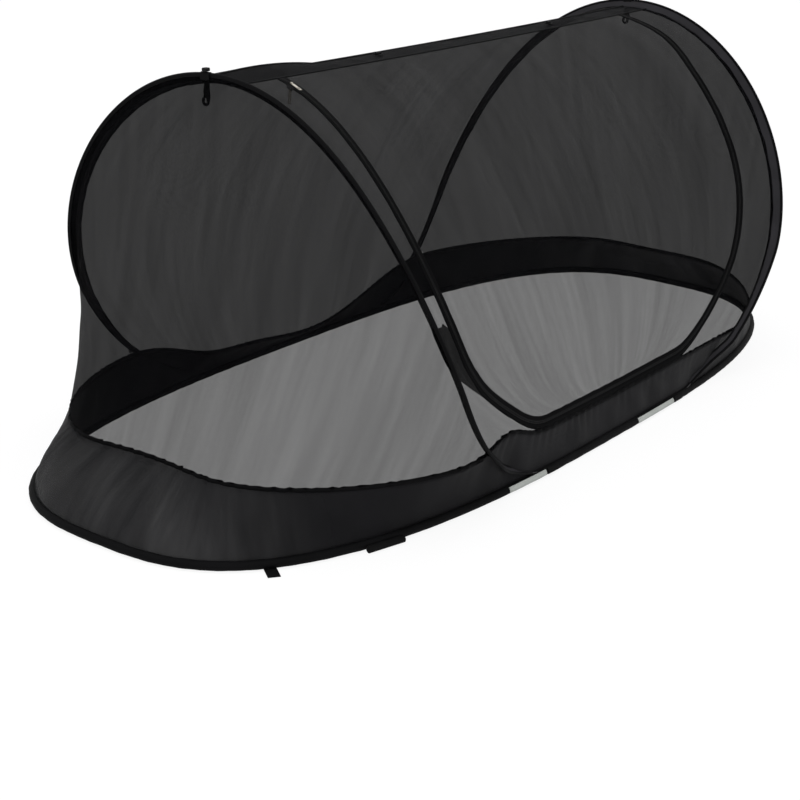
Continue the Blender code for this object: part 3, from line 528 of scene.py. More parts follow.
def two_colours(tree, factor, first, second):
    """Colour that runs between two as a factor rises through its middle."""
    ramp = add_node(tree, "ShaderNodeValToRGB", {"Fac": factor})
    for stop, position, colour in zip(ramp.color_ramp.elements, (0.3, 0.7), (first, second)):
        stop.position = position
        stop.color = (*colour, 1)
    return ramp.outputs["Color"]


def coordinates(tree, kind="Object"):
    """Object coordinates, or the piece's own map in metres."""
    return tree.nodes.new("ShaderNodeTexCoord").outputs[kind]


def mottle(tree, shader, patches, dark, light, change, roughness):
    """Slow changes of colour and roughness."""
    feed(tree, shader, {
        "Base Color": two_colours(tree, patches, dark, light),
        "Roughness": math_node(tree, "MULTIPLY_ADD", patches, change, roughness),
    })


def add_bump(tree, shader, height, strength, distance):
    """Fine relief from a height."""
    bump = add_node(tree, "ShaderNodeBump", {"Strength": strength, "Distance": distance, "Height": height})
    feed(tree, shader, {"Normal": bump.outputs["Normal"]})


def place_group(tree, group, coordinate, **values):
    """One of the shared groups, fed by a coordinate and its own values."""
    return add_node(tree, "ShaderNodeGroup", {"Vector": coordinate, **values}, node_tree=group)


def stretched(tree, turn, length):
    """Coordinates turned by an angle and drawn out along it, for wrinkles and drag lines."""
    return add_node(tree, "ShaderNodeMapping", {
        "Rotation": (0, 0, math.radians(turn)), "Scale": (1, length, 1), "Vector": coordinates(tree, "UV"),
    }).outputs["Vector"]


def net_material(name, thread_alpha, hole_alpha, colour):
    """Knitted net: dark threads round small holes that let the background through."""
    made, tree, shader = new_material(name, colour, 0.8, specular=0.015)
    holes = place_group(tree, mesh_group, coordinates(tree, "UV"), Pitch=0.0015, Hole=-0.2, Soft=1.1)
    streaks = place_group(tree, weave_group, coordinates(tree), Unevenness=7.0)
    alpha = math_node(tree, "MULTIPLY_ADD", holes.outputs["Mask"], hole_alpha - thread_alpha, thread_alpha)
    total = 0
    for turn, length, size, depth in ((28, 0.07, 30.0, 0.07), (-52, 0.06, 46.0, 0.06), (12, 0.22, 7.0, 0.08)):
        lines = place_group(tree, weave_group, stretched(tree, turn, length), Unevenness=size)
        alpha = math_node(tree, "MULTIPLY_ADD", lines.outputs["Patches"], -depth, alpha)
        total += depth / 2
    lighter = tuple(value * 1.8 for value in colour)
    feed(tree, shader, {
        "Alpha": math_node(tree, "ADD", alpha, total, clamp=True),
        "Base Color": two_colours(tree, streaks.outputs["Patches"], colour, lighter),
    })
    return made


def cloth_material(name, dark, light, roughness, threads, sheen=0.0, relief=0.25, specular=0.06):
    """Woven cloth with thread relief and slow changes of colour and sheen."""
    made, tree, shader = new_material(name, dark, roughness, sheen=sheen, specular=specular)
    weave = place_group(tree, weave_group, coordinates(tree), Threads=threads, Unevenness=9.0)
    mottle(tree, shader, weave.outputs["Patches"], dark, light, 0.25, roughness - 0.12)
    add_bump(tree, shader, weave.outputs["Height"], relief, 0.0004)
    return made


def band_material():
    """Dark polyester, nearly opaque, with painted back-light: more see-through towards the rounded ends,
    where light shone through it from behind.
    """
    made = cloth_material("dark_polyester", (0.0045, 0.0044, 0.0050), (0.0085, 0.0083, 0.0095),
                          0.6, 1400.0, 0.02)
    tree = made.node_tree
    split = add_node(tree, "ShaderNodeSeparateXYZ", {0: coordinates(tree)})
    # Painted back-light: alpha drops towards the rounded ends to stand in for light shining through from
    # behind, not for a thinner cloth
    backlit_ends = add_node(tree, "ShaderNodeMapRange", {
        "Value": math_node(tree, "ABSOLUTE", split.outputs["X"]),
        "From Min": 0.78, "From Max": half_length, "To Min": 0.998, "To Max": 0.855,
    }, interpolation_type="SMOOTHSTEP")
    folds = place_group(tree, weave_group, stretched(tree, 12, 0.16), Unevenness=26.0)
    waves = place_group(tree, weave_group, stretched(tree, -20, 0.3), Unevenness=9.0)
    both = math_node(tree, "ADD", folds.outputs["Patches"], waves.outputs["Patches"])
    # Share of the painted back-light at each place, broken up by the folds and waves
    light = math_node(tree, "SUBTRACT", 1.0, backlit_ends.outputs["Result"])
    through = math_node(tree, "MULTIPLY", light, math_node(tree, "MULTIPLY_ADD", both, 1.5, -0.5))
    alpha = math_node(tree, "SUBTRACT", 1.0, through, clamp=True)
    feed(tree, tree.nodes["Principled BSDF"], {"Alpha": alpha})
    return made


def hard_material(name, dark, light, roughness, metallic, grain, specular=0.5):
    """Moulded plastic or plated metal with fine grain and faint wear."""
    made, tree, shader = new_material(name, dark, roughness, metallic, specular=specular)
    noise = add_node(tree, "ShaderNodeTexNoise", {"Scale": grain, "Detail": 6, "Vector": coordinates(tree)})
    mottle(tree, shader, noise.outputs["Fac"], dark, light, 0.3, roughness - 0.15)
    add_bump(tree, shader, noise.outputs["Fac"], 0.15, 0.0003)
    return made


black_net = net_material("black_knitted_net", 0.90, 0.72, (0.0018, 0.0018, 0.0021))
ridge_net = net_material("doubled_ridge_net", 0.995, 0.93, (0.0032, 0.0032, 0.0036))
flap_net = net_material("storm_flap_net", 0.98, 0.86, (0.0040, 0.0040, 0.0044))
band_cloth = band_material()
binding_cloth = cloth_material("binding_tape", (0.0016, 0.0016, 0.0018), (0.004, 0.004, 0.0045),
                               0.75, 900.0)
sleeve_cloth = cloth_material("black_sleeve_tape", (0.0015, 0.0015, 0.0017), (0.0042, 0.0042, 0.0047),
                              0.7, 1000.0)
zip_cloth = cloth_material("black_zip_tape", (0.0014, 0.0014, 0.0016), (0.0034, 0.0034, 0.0038),
                           0.75, 1100.0, specular=0.02)
strap_cloth = cloth_material("black_webbing", (0.002, 0.002, 0.0021), (0.006, 0.006, 0.0062),
                             0.75, 700.0, relief=0.5)
patch_cloth = cloth_material("pale_patch_tape", (0.36, 0.38, 0.36), (0.47, 0.49, 0.47), 0.5, 800.0, 0.1, 0.4)
thread = cloth_material("black_thread", (0.003, 0.003, 0.0033), (0.008, 0.008, 0.0085), 0.6, 3000.0)
pale_thread = cloth_material("pale_thread", (0.32, 0.34, 0.32), (0.42, 0.44, 0.42), 0.5, 3000.0)
tooth_plastic = hard_material("black_zip_teeth", (0.0015, 0.0015, 0.0017), (0.004, 0.004, 0.0045),
                              0.5, 0.0, 900.0, 0.2)
hook_plastic = hard_material("black_hook_plastic", (0.002, 0.002, 0.0022), (0.005, 0.005, 0.0055),
                             0.5, 0.0, 600.0, 0.12)
slider_metal = hard_material("pale_gold_metal", (0.55, 0.50, 0.42), (0.72, 0.68, 0.60), 0.32, 1.0, 500.0)
wire_steel = hard_material("black_coated_steel", (0.010, 0.010, 0.011), (0.03, 0.03, 0.032),
                           0.45, 0.6, 700.0)
hem_cloth = cloth_material("folded_hem_cloth", (0.0200, 0.0195, 0.0215), (0.0300, 0.0290, 0.0325),
                           0.8, 1300.0)


# Mesh making

def add_object(name, data):
    """An object in the scene."""
    made = bpy.data.objects.new(name, data)
    bpy.context.scene.collection.objects.link(made)
    return made


def add_piece(name, points, faces, finish, uv=None, smooth=True):
    """A mesh object at the origin. uv gives each vertex its place on the cloth, in metres."""
    mesh = bpy.data.meshes.new(name)
    mesh.from_pydata([tuple(map(float, point)) for point in points], [], faces)
    if uv is not None:
        layer = mesh.uv_layers.new(name="cloth")
        flat = [coordinate for loop in mesh.loops for coordinate in uv[loop.vertex_index]]
        layer.data.foreach_set("uv", flat)
    mesh.materials.append(finish)
    if smooth:
        mesh.shade_smooth()
    return add_object(name, mesh)


def turn_out(made):
    """Point a closed mesh's faces out."""
    form = bmesh.new()
    form.from_mesh(made.data)
    bmesh.ops.recalc_face_normals(form, faces=form.faces)
    form.to_mesh(made.data)
    form.free()
    return made


def grid_faces(rows, columns, closed=False):
    """Quads of a grid, joined round where its columns close."""
    last = columns if closed else columns - 1
    return [
        (r * columns + c, r * columns + (c + 1) % columns,
         (r + 1) * columns + (c + 1) % columns, (r + 1) * columns + c)
        for r in range(rows - 1)
        for c in range(last)
    ]


def add_cloth(name, grid, finish, closed=False):
    """One sheet of cloth over a grid of points, with its own map in metres."""
    grid = np.array(grid)
    rows, columns = grid.shape[:2]
    side = np.linalg.norm(np.diff(grid, axis=0), axis=2)
    down = np.concatenate([np.zeros((1, columns)), np.cumsum(side, axis=0)])
    across = run_along(grid[rows // 2])
    uv = [(across[c], down[r][c]) for r in range(rows) for c in range(columns)]
    return add_piece(name, grid.reshape(-1, 3), grid_faces(rows, columns, closed), finish, uv)


def cloth_size(grid, closed=False):
    """Longest row, longest column and area of a grid of points."""
    grid = np.array(grid)
    rows = np.concatenate([grid, grid[:, :1]], axis=1) if closed else grid
    width = max(line_length(row) for row in rows)
    length = max(line_length(column) for column in rows.transpose(1, 0, 2))
    first, second = rows[1:, 1:] - rows[:-1, :-1], rows[1:, :-1] - rows[:-1, 1:]
    area = float(np.linalg.norm(np.cross(first, second), axis=2).sum() / 2)
    return width, length, area


def declare_sheet(grid, closed=False):
    width, length, area = cloth_size(grid, closed)
    width = min(width, area / (0.32 * length))
    area = min(area, width * length)


def add_sweep(name, rings, finish, closed=False):
    """A solid through rings of points, closed on itself or with a face at each end."""
    rings = np.array(rings)
    count, sides = rings.shape[:2]
    faces = [
        (r * sides + s, r * sides + (s + 1) % sides,
         ((r + 1) % count) * sides + (s + 1) % sides, ((r + 1) % count) * sides + s)
        for r in range(count if closed else count - 1)
        for s in range(sides)
    ]
    if not closed:
        faces.append(tuple(range(sides)))
        faces.append(tuple(range((count - 1) * sides, count * sides)))
    return turn_out(add_piece(name, rings.reshape(-1, 3), faces, finish))


def tube_rings(points, radius, sides, closed=False):
    """Round rings along a line."""
    rings = []
    for point, along in zip(points, tangents(points, closed)):
        across = unit(np.cross(upright, along))
        rise = np.cross(along, across)
        turns = [2 * math.pi * side / sides for side in range(sides)]
        rings.append([point + radius * (math.cos(turn) * across + math.sin(turn) * rise) for turn in turns])
    return rings


def finish_modifiers(made):
    """Turn a piece's modifiers into its mesh."""
    bpy.context.view_layer.update()
    result = bpy.data.meshes.new_from_object(made.evaluated_get(bpy.context.evaluated_depsgraph_get()))
    made.modifiers.clear()
    made.data = result


def make_stitch_tree():
    """Geometry nodes that set a small rounded bar at each point, along one direction and facing another."""
    tree, given, result = new_group(
        "GeometryNodeTree", "rows_of_bars",
        {"Points": "Geometry", "Length": "Float", "Width": "Float", "Height": "Float", "Finish": "Material"},
        {"Geometry": "Geometry"},
    )
    size = add_node(tree, "ShaderNodeCombineXYZ",
                    {"X": given["Length"], "Y": given["Width"], "Z": given["Height"]})
    bar = add_node(tree, "GeometryNodeMeshIcoSphere", {"Radius": 0.5, "Subdivisions": 1})
    spots = add_node(tree, "GeometryNodeMeshToPoints", {"Mesh": given["Points"]})
    turned = {}
    for label, axis, pivot in (("along", "X", "AUTO"), ("facing", "Z", "X")):
        read = add_node(tree, "GeometryNodeInputNamedAttribute", {"Name": label}, data_type="FLOAT_VECTOR")
        align = add_node(tree, "FunctionNodeAlignRotationToVector",
                         {"Vector": read.outputs["Attribute"], **turned}, axis=axis, pivot_axis=pivot)
        turned = {"Rotation": align.outputs["Rotation"]}
    place = add_node(tree, "GeometryNodeInstanceOnPoints", {
        "Points": spots.outputs["Points"], "Instance": bar.outputs["Mesh"],
        "Scale": size.outputs["Vector"], **turned,
    })
    whole = add_node(tree, "GeometryNodeRealizeInstances", {"Geometry": place.outputs["Instances"]})
    paint = add_node(tree, "GeometryNodeSetMaterial",
                     {"Geometry": whole.outputs["Geometry"], "Material": given["Finish"]})
    feed(tree, result, {"Geometry": paint.outputs["Geometry"]})
    return tree


stitch_tree = make_stitch_tree()


def rows_of_bars(name, points, along, facing, size, finish):
    """A bar of length, width and height at each point, as one mesh piece."""
    mesh = bpy.data.meshes.new(name)
    mesh.from_pydata([tuple(map(float, point)) for point in points], [], [])
    for label, values in (("along", along), ("facing", facing)):
        attribute = mesh.attributes.new(label, "FLOAT_VECTOR", "POINT")
        attribute.data.foreach_set("vector", np.array(values, np.float32).ravel())
    made = add_object(name, mesh)
    rows = made.modifiers.new("rows", "NODES")
    rows.node_group = stitch_tree
    for label, value in zip(("Length", "Width", "Height", "Finish"), (*size, finish)):
        rows[stitch_tree.interface.items_tree[label].identifier] = value
    finish_modifiers(made)
    return made


def spaced(points, pitch, *others, closed=False):
    """Points and matching directions at an even pitch along a line."""
    points = np.array(points)
    columns = [points] + [np.array(other) for other in others]
    if closed:
        columns = [np.concatenate([column, column[:1]]) for column in columns]
    rows = resample(np.concatenate(columns, axis=1), max(2, int(line_length(columns[0]) / pitch)))
    if closed:
        rows = rows[:-1]
    return [rows[:, 3 * index:3 * index + 3] for index in range(len(columns))]


def row_of_stitches(name, kind, points, ways, ups, finish, closed=False, slant=None):
    """Stitches of one kind at their even pitch along a line, each turned by the slant."""
    pitch, size = bar_kinds[kind]
    points, ways, ups = spaced(points, pitch, ways, ups, closed=closed)
    if slant is not None:
        ways = [slant(way, up) for way, up in zip(ways, ups)]
    return rows_of_bars(name, points, ways, ups, size, finish)


def bend(made):
    """Bake a piece's placement into its mesh."""
    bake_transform(made)
    return made


# Base rim

def build_rim():
    """Rolled sleeve round the base, its stitching and the first wire loop inside it."""
    along = tangents(rim_ring, closed=True)
    run = run_along(rim_ring)
    rings = []
    sides = 14
    for centre, direction, place in zip(rim_ring, along, run):
        inward = inward_of(direction)
        ring = []
        for side in range(sides):
            angle = 2 * math.pi * (side + 0.5) / sides
            swell = 1 + 0.05 * ruffle(place + side * 0.011, 5, 0.03, 0.11)
            radius = (rim_height - 0.0003) * min(swell, 1.04)
            lift = max(radius * math.sin(angle), 0.0002 - rim_height)
            ring.append(centre + inward * radius * 1.02 * math.cos(angle) + upright * lift)
        rings.append(ring)
    sleeve = add_sweep("rim_sleeve_cloth", rings, sleeve_cloth, closed=True)
    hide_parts("foot_rim_sleeve", "head_rim_sleeve")
    bend(sleeve)

    shift = wire_diameter / 2 + gap
    loop = [
        centre + inward_of(direction) * shift - upright * wire_drop
        for centre, direction in zip(rim_ring, along)
    ]
    rings = tube_rings(loop, wire_diameter / 2, 6, closed=True)
    wire = add_sweep("rim_wire_loop", rings, wire_steel, closed=True)
    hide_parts("foot_rim_wire", "head_rim_wire")
    bend(wire)

    points, ways, ups = [], [], []
    for centre, direction in zip(rim_ring, along):
        inward = inward_of(direction)
        tilt = unit(inward * 0.55 + upright * 0.83)
        points.append(centre + tilt * (rim_height + 0.0001))
        ways.append(direction)
        ups.append(tilt)
    stitches = row_of_stitches("rim_sleeve_stitches", "rim", points, ways, ups, thread, closed=True)
    bend(stitches)


# Hoops

def build_hoop(end, label, body):
    """Sleeve of one hoop and its stitching."""
    mirror = np.array([end, 1, 1])
    rings, lines = [], {1: [], -1: []}
    for run, (centre, inward, outward) in zip(hoop_run, hoop_frames):
        flap = min(flap_at(centre[2]), flap_in_view) + 0.0003 * ruffle(run, 11, 0.02, 0.09)
        sway = 0.0003 * ruffle(run, 23, 0.03, 0.12)
        outline = [(flap, flap_half), (flap * 0.8, flap_half * 1.05 + sway)]
        start = math.radians(42)
        for part in range(9):
            angle = start + (2 * math.pi - 2 * start) * part / 8
            outline.append((sleeve_radius * math.cos(angle), sleeve_radius * math.sin(angle)))
        outline += [(flap * 0.8, -flap_half * 1.05 + sway), (flap, -flap_half), (flap + 0.0002, 0)]
        rings.append([(centre + inward * a + outward * b) * mirror for a, b in outline])
        if centre[2] > 0.03:
            for side in (1, -1):
                spot = centre + inward * flap * 0.82 + outward * side * (flap_half * 1.05 + sway * side)
                lines[side].append((spot * mirror, outward * side * mirror))
    sleeve = add_sweep(f"{label}_hoop_cloth", rings, sleeve_cloth)
    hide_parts(f"{label}_hoop_sleeve")
    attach(sleeve, body)
    for side, row in lines.items():
        points = [item[0] for item in row]
        facing = [item[1] for item in row]
        name = f"{label}_hoop_stitches_{'outer' if side > 0 else 'inner'}"
        stitches = row_of_stitches(name, "hoop", points, tangents(points), facing, thread)
        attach(stitches, body)


def build_hoop_hem(end, label, body):
    """Wide folded hem inside the hoop, gathered a little, with an overlocked inner edge."""
    mirror = np.array([end, 1, 1])
    strip, roll, bars = [], [], []
    for step, (run, (centre, inward, outward)) in enumerate(zip(hoop_run, hoop_frames)):
        place = 2 * step / (len(hoop_frames) - 1) - 1
        lean = math.radians(np.interp(place, hem_places, hem_degrees)) + 0.025 * ruffle(run, 81, 0.05, 0.2)
        narrow = smooth_step(centre[2] / 0.05) * (0.45 + 0.55 * smooth_step((centre[2] - 0.12) / 0.25))
        full = hem_width - hem_end_width + 0.0005 * ruffle(run, 83, 0.02, 0.07)
        width = hem_end_width + full * narrow
        along = inward * math.cos(lean) - outward * math.sin(lean)
        across = outward * math.cos(lean) + inward * math.sin(lean)
        puff = 0.0007 * ruffle(run, 85, 0.015, 0.05)
        outline = [
            (0.0022, 0.0006), (width * 0.35, 0.0007 + puff), (width * 0.7, 0.0006 - puff),
            (width, 0.0005), (width, -0.0005),
            (width * 0.7, -0.0006 - puff), (width * 0.35, -0.0007 + puff), (0.0022, -0.0006),
        ]
        strip.append([(centre + along * a + across * b) * mirror for a, b in outline])
        wave = 0.0006 * ruffle(run, 87, 0.008, 0.03)
        ring = []
        for part in range(8):
            angle = 2 * math.pi * part / 8
            spot = (width + 0.0004 + 0.0027 * math.cos(angle), wave + 0.0011 * math.sin(angle))
            ring.append((centre + along * spot[0] + across * spot[1]) * mirror)
        roll.append(ring)
        for side in (1, -1):
            bars.append((side, (centre + along * (width + 0.0003) + across * (wave + side * 0.0011)) * mirror,
                         across * side * mirror))
    hem = add_sweep(f"{label}_hoop_hem", strip, hem_cloth)
    edge = add_sweep(f"{label}_hoop_hem_edge", roll, binding_cloth)
    pieces = [hem, edge]
    for side in (1, -1):
        points = np.array([point for which, point, _ in bars if which == side])
        facing = [face for which, _, face in bars if which == side]
        name = f"{label}_hem_overlock_{'outer' if side > 0 else 'inner'}"
        pieces.append(row_of_stitches(
            name, "hem", points, tangents(points), facing, thread,
            slant=lambda way, up: unit(way * 0.45 + unit(np.cross(up, way)) * 0.9),
        ))
    for piece in pieces:
        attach(piece, body)


def build_hoop_wire():
    """The second wire loop: both hoops, joined along the rim on each side."""
    rise = hoop_leg(0.0049)
    leg = resample(rise[:, :3], 90)
    leg[:, 2] = np.maximum(leg[:, 2], rim_height - wire_drop)
    head = over_crown(leg)
    foot = head[::-1] * np.array([-1, 1, 1])
    far_run = np.linspace(head[-1], foot[0], 29)[1:-1]
    near_run = np.linspace(foot[-1], head[0], 29)[1:-1]
    loop = np.concatenate([head, far_run, foot, near_run])
    rings = tube_rings(loop, wire_diameter / 2 * 0.95, 6, closed=True)
    wire = add_sweep("hoop_wire_loop", rings, wire_steel, closed=True)
    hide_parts("foot_hoop_wire", "head_hoop_wire")
    bend(wire)


# Band

def build_band():
    """Gathered opaque band with its bound top seam."""
    along = tangents(top_ring, closed=True)
    run = run_along(top_ring)
    rows = 12
    grid = []
    for step in range(rows):
        share = step / (rows - 1)
        row = []
        for foot, top, direction, place in zip(foot_ring, top_ring, along, run):
            point = foot + (top - foot) * share
            bow = share ** band_bow_power
            outward = -inward_of(direction)
            level = (top - foot) * np.array([1, 1, 0])
            point = point + level * (bow - share)
            gathers = 0.0016 * share ** 2 * ruffle(place, 31, 0.012, 0.035)
            fullness = math.sin(math.pi * min(share * 1.15, 1))
            folds = 0.0030 * fullness * ruffle(place + 0.05 * share, 37, 0.07, 0.22)
            row.append(point + outward * (gathers + folds))
        grid.append(row)
    band = add_cloth("side_band_cloth", grid, band_cloth, closed=True)
    solid = band.modifiers.new("cloth", "SOLIDIFY")
    solid.thickness = band_thickness
    solid.offset = 0
    finish_modifiers(band)
    turn_out(band)
    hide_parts("foot_side_band", "head_side_band", "near_fold_gusset", "far_fold_gusset")
    width, length, area = cloth_size(grid, closed=True)
    bend(band)

    rings, spots, facing = [], [], []
    for top, direction, place in zip(top_ring, along, run):
        inward = inward_of(direction)
        sway = 0.0016 * ruffle(place, 31, 0.012, 0.035)
        lean = 0.0022 * ruffle(place, 41, 0.010, 0.028)
        half = binding_thickness / 2
        outline = ((-half, -0.0006), (-half * 0.7, binding_height * 0.55), (-half * 0.25, binding_height),
                   (half * 0.25, binding_height), (half * 0.7, binding_height * 0.55), (half, -0.0006))
        rings.append([
            top - inward * (sway + lean * b / binding_height) + inward * a + upright * b for a, b in outline
        ])
        spots.append(top - inward * (sway + lean * 0.4 + half * 0.9) + upright * binding_height * 0.45)
        facing.append(-inward)
    binding = add_sweep("band_seam_binding", rings, binding_cloth, closed=True)
    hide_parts("foot_band_binding", "head_band_binding")
    bend(binding)
    stitches = row_of_stitches("band_seam_overlock", "band", spots, along, facing, thread, closed=True,
                               slant=lambda way, up: unit(way * 0.45 + upright * 0.9))
    bend(stitches)


# Nets

def net_folds(u, v, seed, depth):
    """Shallow tension folds that die out at a net's edges."""
    numbers = np.random.default_rng(seed)
    edge = min(1, 7 * min(u, 1 - u)) * min(1, 7 * min(v, 1 - v))
    total = 0
    for _ in range(6):
        lean = numbers.uniform(-0.9, 0.9)
        count = numbers.uniform(5, 14)
        centre = numbers.uniform(0, 1)
        path = u * math.cos(lean) + v * math.sin(lean) * 0.45
        fade = math.exp(-((v - centre) / 0.45) ** 2)
        total += fade * math.sin(2 * math.pi * count * path + numbers.uniform(0, 6))
    return depth * edge * total / 3


def surface_normal(net, u, v):
    """Outward direction of a net's surface."""
    step = 1 / 400
    along = net(min(u + step, 1), v) - net(max(u - step, 0), v)
    rise = net(u, min(v + step, 1)) - net(u, max(v - step, 0))
    return unit(np.cross(along, rise))


def build_far_net():
    """Net of the far side, from hoop to hoop."""
    grid = []
    for row in range(41):
        v = row / 40
        line = []
        for column in range(81):
            u = column / 80
            out = surface_normal(lambda a, b: side_net(a, b, 1), u, v)
            line.append(side_net(u, v, 1) - out * net_folds(u, v, 3, 0.0035))
        line = [side_leg(v, 1, -1, tucked_leg)] + line + [side_leg(v, 1, 1, tucked_leg)]
        grid.append(line)
    grid.insert(0, [behind_binding(point) for point in grid[0]])
    made = add_cloth("far_side_net", grid, black_net)
    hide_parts("far_net")
    declare_sheet(grid)
    bend(made)


def build_end_net(end, label, body):
    """Net that closes an end, from the hoop down to the band."""
    mirror = np.array([end, 1, 1])
    rows = over_crown(resample(leg_rows[first_row:], 46))
    upper = [seam_point(item, 1, net_fabric) for item in frames_of(rows)]
    tucked = [tucked_point(item, 1) * mirror for item in frames_of(rows)]
    lower = resample(top_half[60:-60] + np.array([0, 0, net_foot_rise]), len(upper))
    columns = len(upper)
    steps = 34
    grid = []
    for step in range(steps + 1):
        share = step / steps
        line = []
        for column in range(columns):
            u = column / (columns - 1)
            point = mix(lower[column], upper[column], share)
            point[0] -= end_net_hollow * 4 * share * (1 - share) * math.sin(math.pi * u)
            point[0] -= net_folds(u, share, 7 + end, 0.004)
            line.append(point * mirror)
        grid.append(line)
    grid.insert(0, [point - np.array([0, 0, 0.006]) for point in grid[0]])
    grid.append(tucked)
    made = add_cloth(f"{label}_end_net", grid, black_net)
    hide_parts(f"{label}_net")
    declare_sheet(grid)
    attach(made, body)


# Door and zip

def zip_shares():
    """Places of the zip on the near net: left leg, left corner, bottom, right corner, right leg."""
    drop = zip_tape_half + 3 * gap
    bottom = drop / (np.linalg.norm(side_net(0.5, 0.02) - side_net(0.5, 0)) / 0.02)
    legs = []
    for edge, corner, lean in (
        (zip_left_share, zip_left_corner, zip_left_top_share),
        (zip_right_share, zip_right_corner, 0),
    ):
        turn = 1 if edge < 0.5 else -1
        places = []
        for step in range(zip_leg_steps):
            v = 1 - (1 - bottom - corner[1]) * step / zip_leg_steps
            draw = hump(v, *zip_draw) if turn < 0 else 0
            places.append((edge + lean * v ** 3 + draw, v))
        low_lean = lean * (bottom + corner[1]) ** 3
        for step in range(zip_corner_steps + 1):
            angle = math.pi / 2 * step / zip_corner_steps
            u = edge + low_lean * math.cos(angle) + turn * corner[0] * (1 - math.cos(angle))
            places.append((u, bottom + corner[1] * (1 - math.sin(angle))))
        legs.append(places)
    left, right = legs
    floor = []
    for step in range(1, zip_floor_steps):
        share = step / zip_floor_steps
        floor.append((mix(left[-1][0], right[-1][0], share), bottom))
    return left, floor, right[::-1]


left_places, floor_places, right_places = zip_shares()
zip_places = left_places + floor_places + right_places
zip_centres = [side_net(u, v) for u, v in zip_places]
zip_along = tangents(zip_centres)
zip_normals = [surface_normal(side_net, u, v) for u, v in zip_places]
zip_outward = [unit(np.cross(along, normal)) for along, normal in zip(zip_along, zip_normals)]
if np.dot(zip_outward[0], side_net(0.5, 0.5) - zip_centres[0]) > 0:
    zip_outward = [-outward for outward in zip_outward]
for place, outward in ((0, -1.0), (-1, 1.0)):
    zip_outward[place] = np.array([outward, 0, 0])
    zip_normals[place] = upright


def zip_edge(index, side):
    """Where a net's edge meets the zip tape, tucked a little under it."""
    return zip_centres[index] + zip_outward[index] * side * (zip_tape_half - 0.002)


def corrected(pair, first, last, first_pair, last_pair, share):
    """Point of the near net, moved so that a row starts and ends where it is told."""
    point = side_net(*pair)
    return point + (1 - share) * (first - side_net(*first_pair)) + share * (last - side_net(*last_pair))


def flap_row(row, narrow, normal):
    """Row of the storm flap, just inside the net and narrowed towards the zip."""
    row = np.array(row) - normal * 0.0025
    places = np.linspace(narrow, 1, len(row)) * (len(row) - 1)
    return [np.array([np.interp(place, range(len(row)), column) for column in row.T]) for place in places]


def build_near_strips():
    """Net either side of the door, and the doubled flap beside the foot leg of the zip."""
    left_count = len(left_places)
    for label, places, first_index, edge in (
        ("near_foot_net", left_places, 0, 0),
        ("near_head_net", right_places, len(zip_places) - left_count, 1),
    ):
        grid, flap = [], []
        for step, (u, v) in enumerate(places):
            row_share = (left_count - 1 - step if edge == 0 else step) / (left_count - 1)
            start, stop = side_leg(row_share, -1, 1 if edge else -1), zip_edge(first_index + step, 1)
            row = [side_leg(row_share, -1, 1 if edge else -1, tucked_leg)]
            for column in range(13):
                share = column / 12
                pair = (mix(edge, u, share), mix(row_share, v, share))
                point = corrected(pair, start, stop, (edge, row_share), (u, v), share)
                ends = min(1, 6 * share, 6 * (1 - share))
                ripple = 0.0018 * ends * ruffle(step * 0.018 + share * 0.02, 51 + edge, 0.05, 0.2)
                row.append(point + surface_normal(side_net, *pair) * ripple)
            grid.append(row)
            if edge == 0 and flap_low < v < flap_high:
                reach = (v - flap_low) / (flap_high - flap_low)
                narrow = 0.85 * max(1 - smooth_step(reach / 0.3), smooth_step((reach - 0.5) / 0.5))
                inner = zip_centres[first_index + step] + zip_outward[first_index + step] * 0.003
                flap.append(flap_row(row + [inner], narrow, surface_normal(side_net, u, v)))
        low_row = [behind_binding(point) for point in (grid[-1] if edge == 0 else grid[0])]
        grid.insert(len(grid) if edge == 0 else 0, low_row)
        made = add_cloth(label + "_cloth", grid, black_net)
        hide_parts(label)
        declare_sheet(grid)
        if edge == 0:
            bend(made)
            doubled = add_cloth("near_foot_flap", flap, flap_net)
            declare_sheet(flap)
            bend(doubled)
        else:
            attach(made, "root")


def build_door():
    """Door net, row by row between the legs of the zip."""
    left_count = len(left_places)
    last, total = left_count - 1, len(zip_places)
    columns = zip_floor_steps + 1
    floor = [zip_edge(last + column, -1) for column in range(columns)]
    shifts = [edge - side_net(*zip_places[last + column]) for column, edge in enumerate(floor)]
    grid = []
    for step in range(left_count):
        left_pair, right_pair = zip_places[step], zip_places[total - 1 - step]
        start, stop = zip_edge(step, -1), zip_edge(total - 1 - step, -1)
        row = []
        for column in range(columns):
            share = column / (columns - 1)
            pair = tuple(mix(a, b, share) for a, b in zip(left_pair, right_pair))
            point = corrected(pair, start, stop, left_pair, right_pair, share)
            pull = (step / last) ** 3
            ends = (1 - share) * shifts[0] + share * shifts[-1]
            point = point + pull * (shifts[column] - ends)
            depth = net_folds(share, 1 - step / last, 13, 0.0032)
            row.append(point + surface_normal(side_net, *pair) * depth)
        grid.append(row)
    door = add_cloth("door_net_cloth", grid[::-1], black_net)
    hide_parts("door_net")
    declare_sheet(grid)
    ride_door(door)


def ride_door(made):
    """Ride the door, with a mesh of its own."""
    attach(made, "door")
    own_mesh(made)


def zip_overlap(step):
    """Extra width of the frame's tape where it is sewn down over the band's seam."""
    corner = len(left_places)
    inside = min(step - corner + 8, len(zip_places) - corner + 8 - step)
    return 0.0055 * smooth_step(inside / 8)


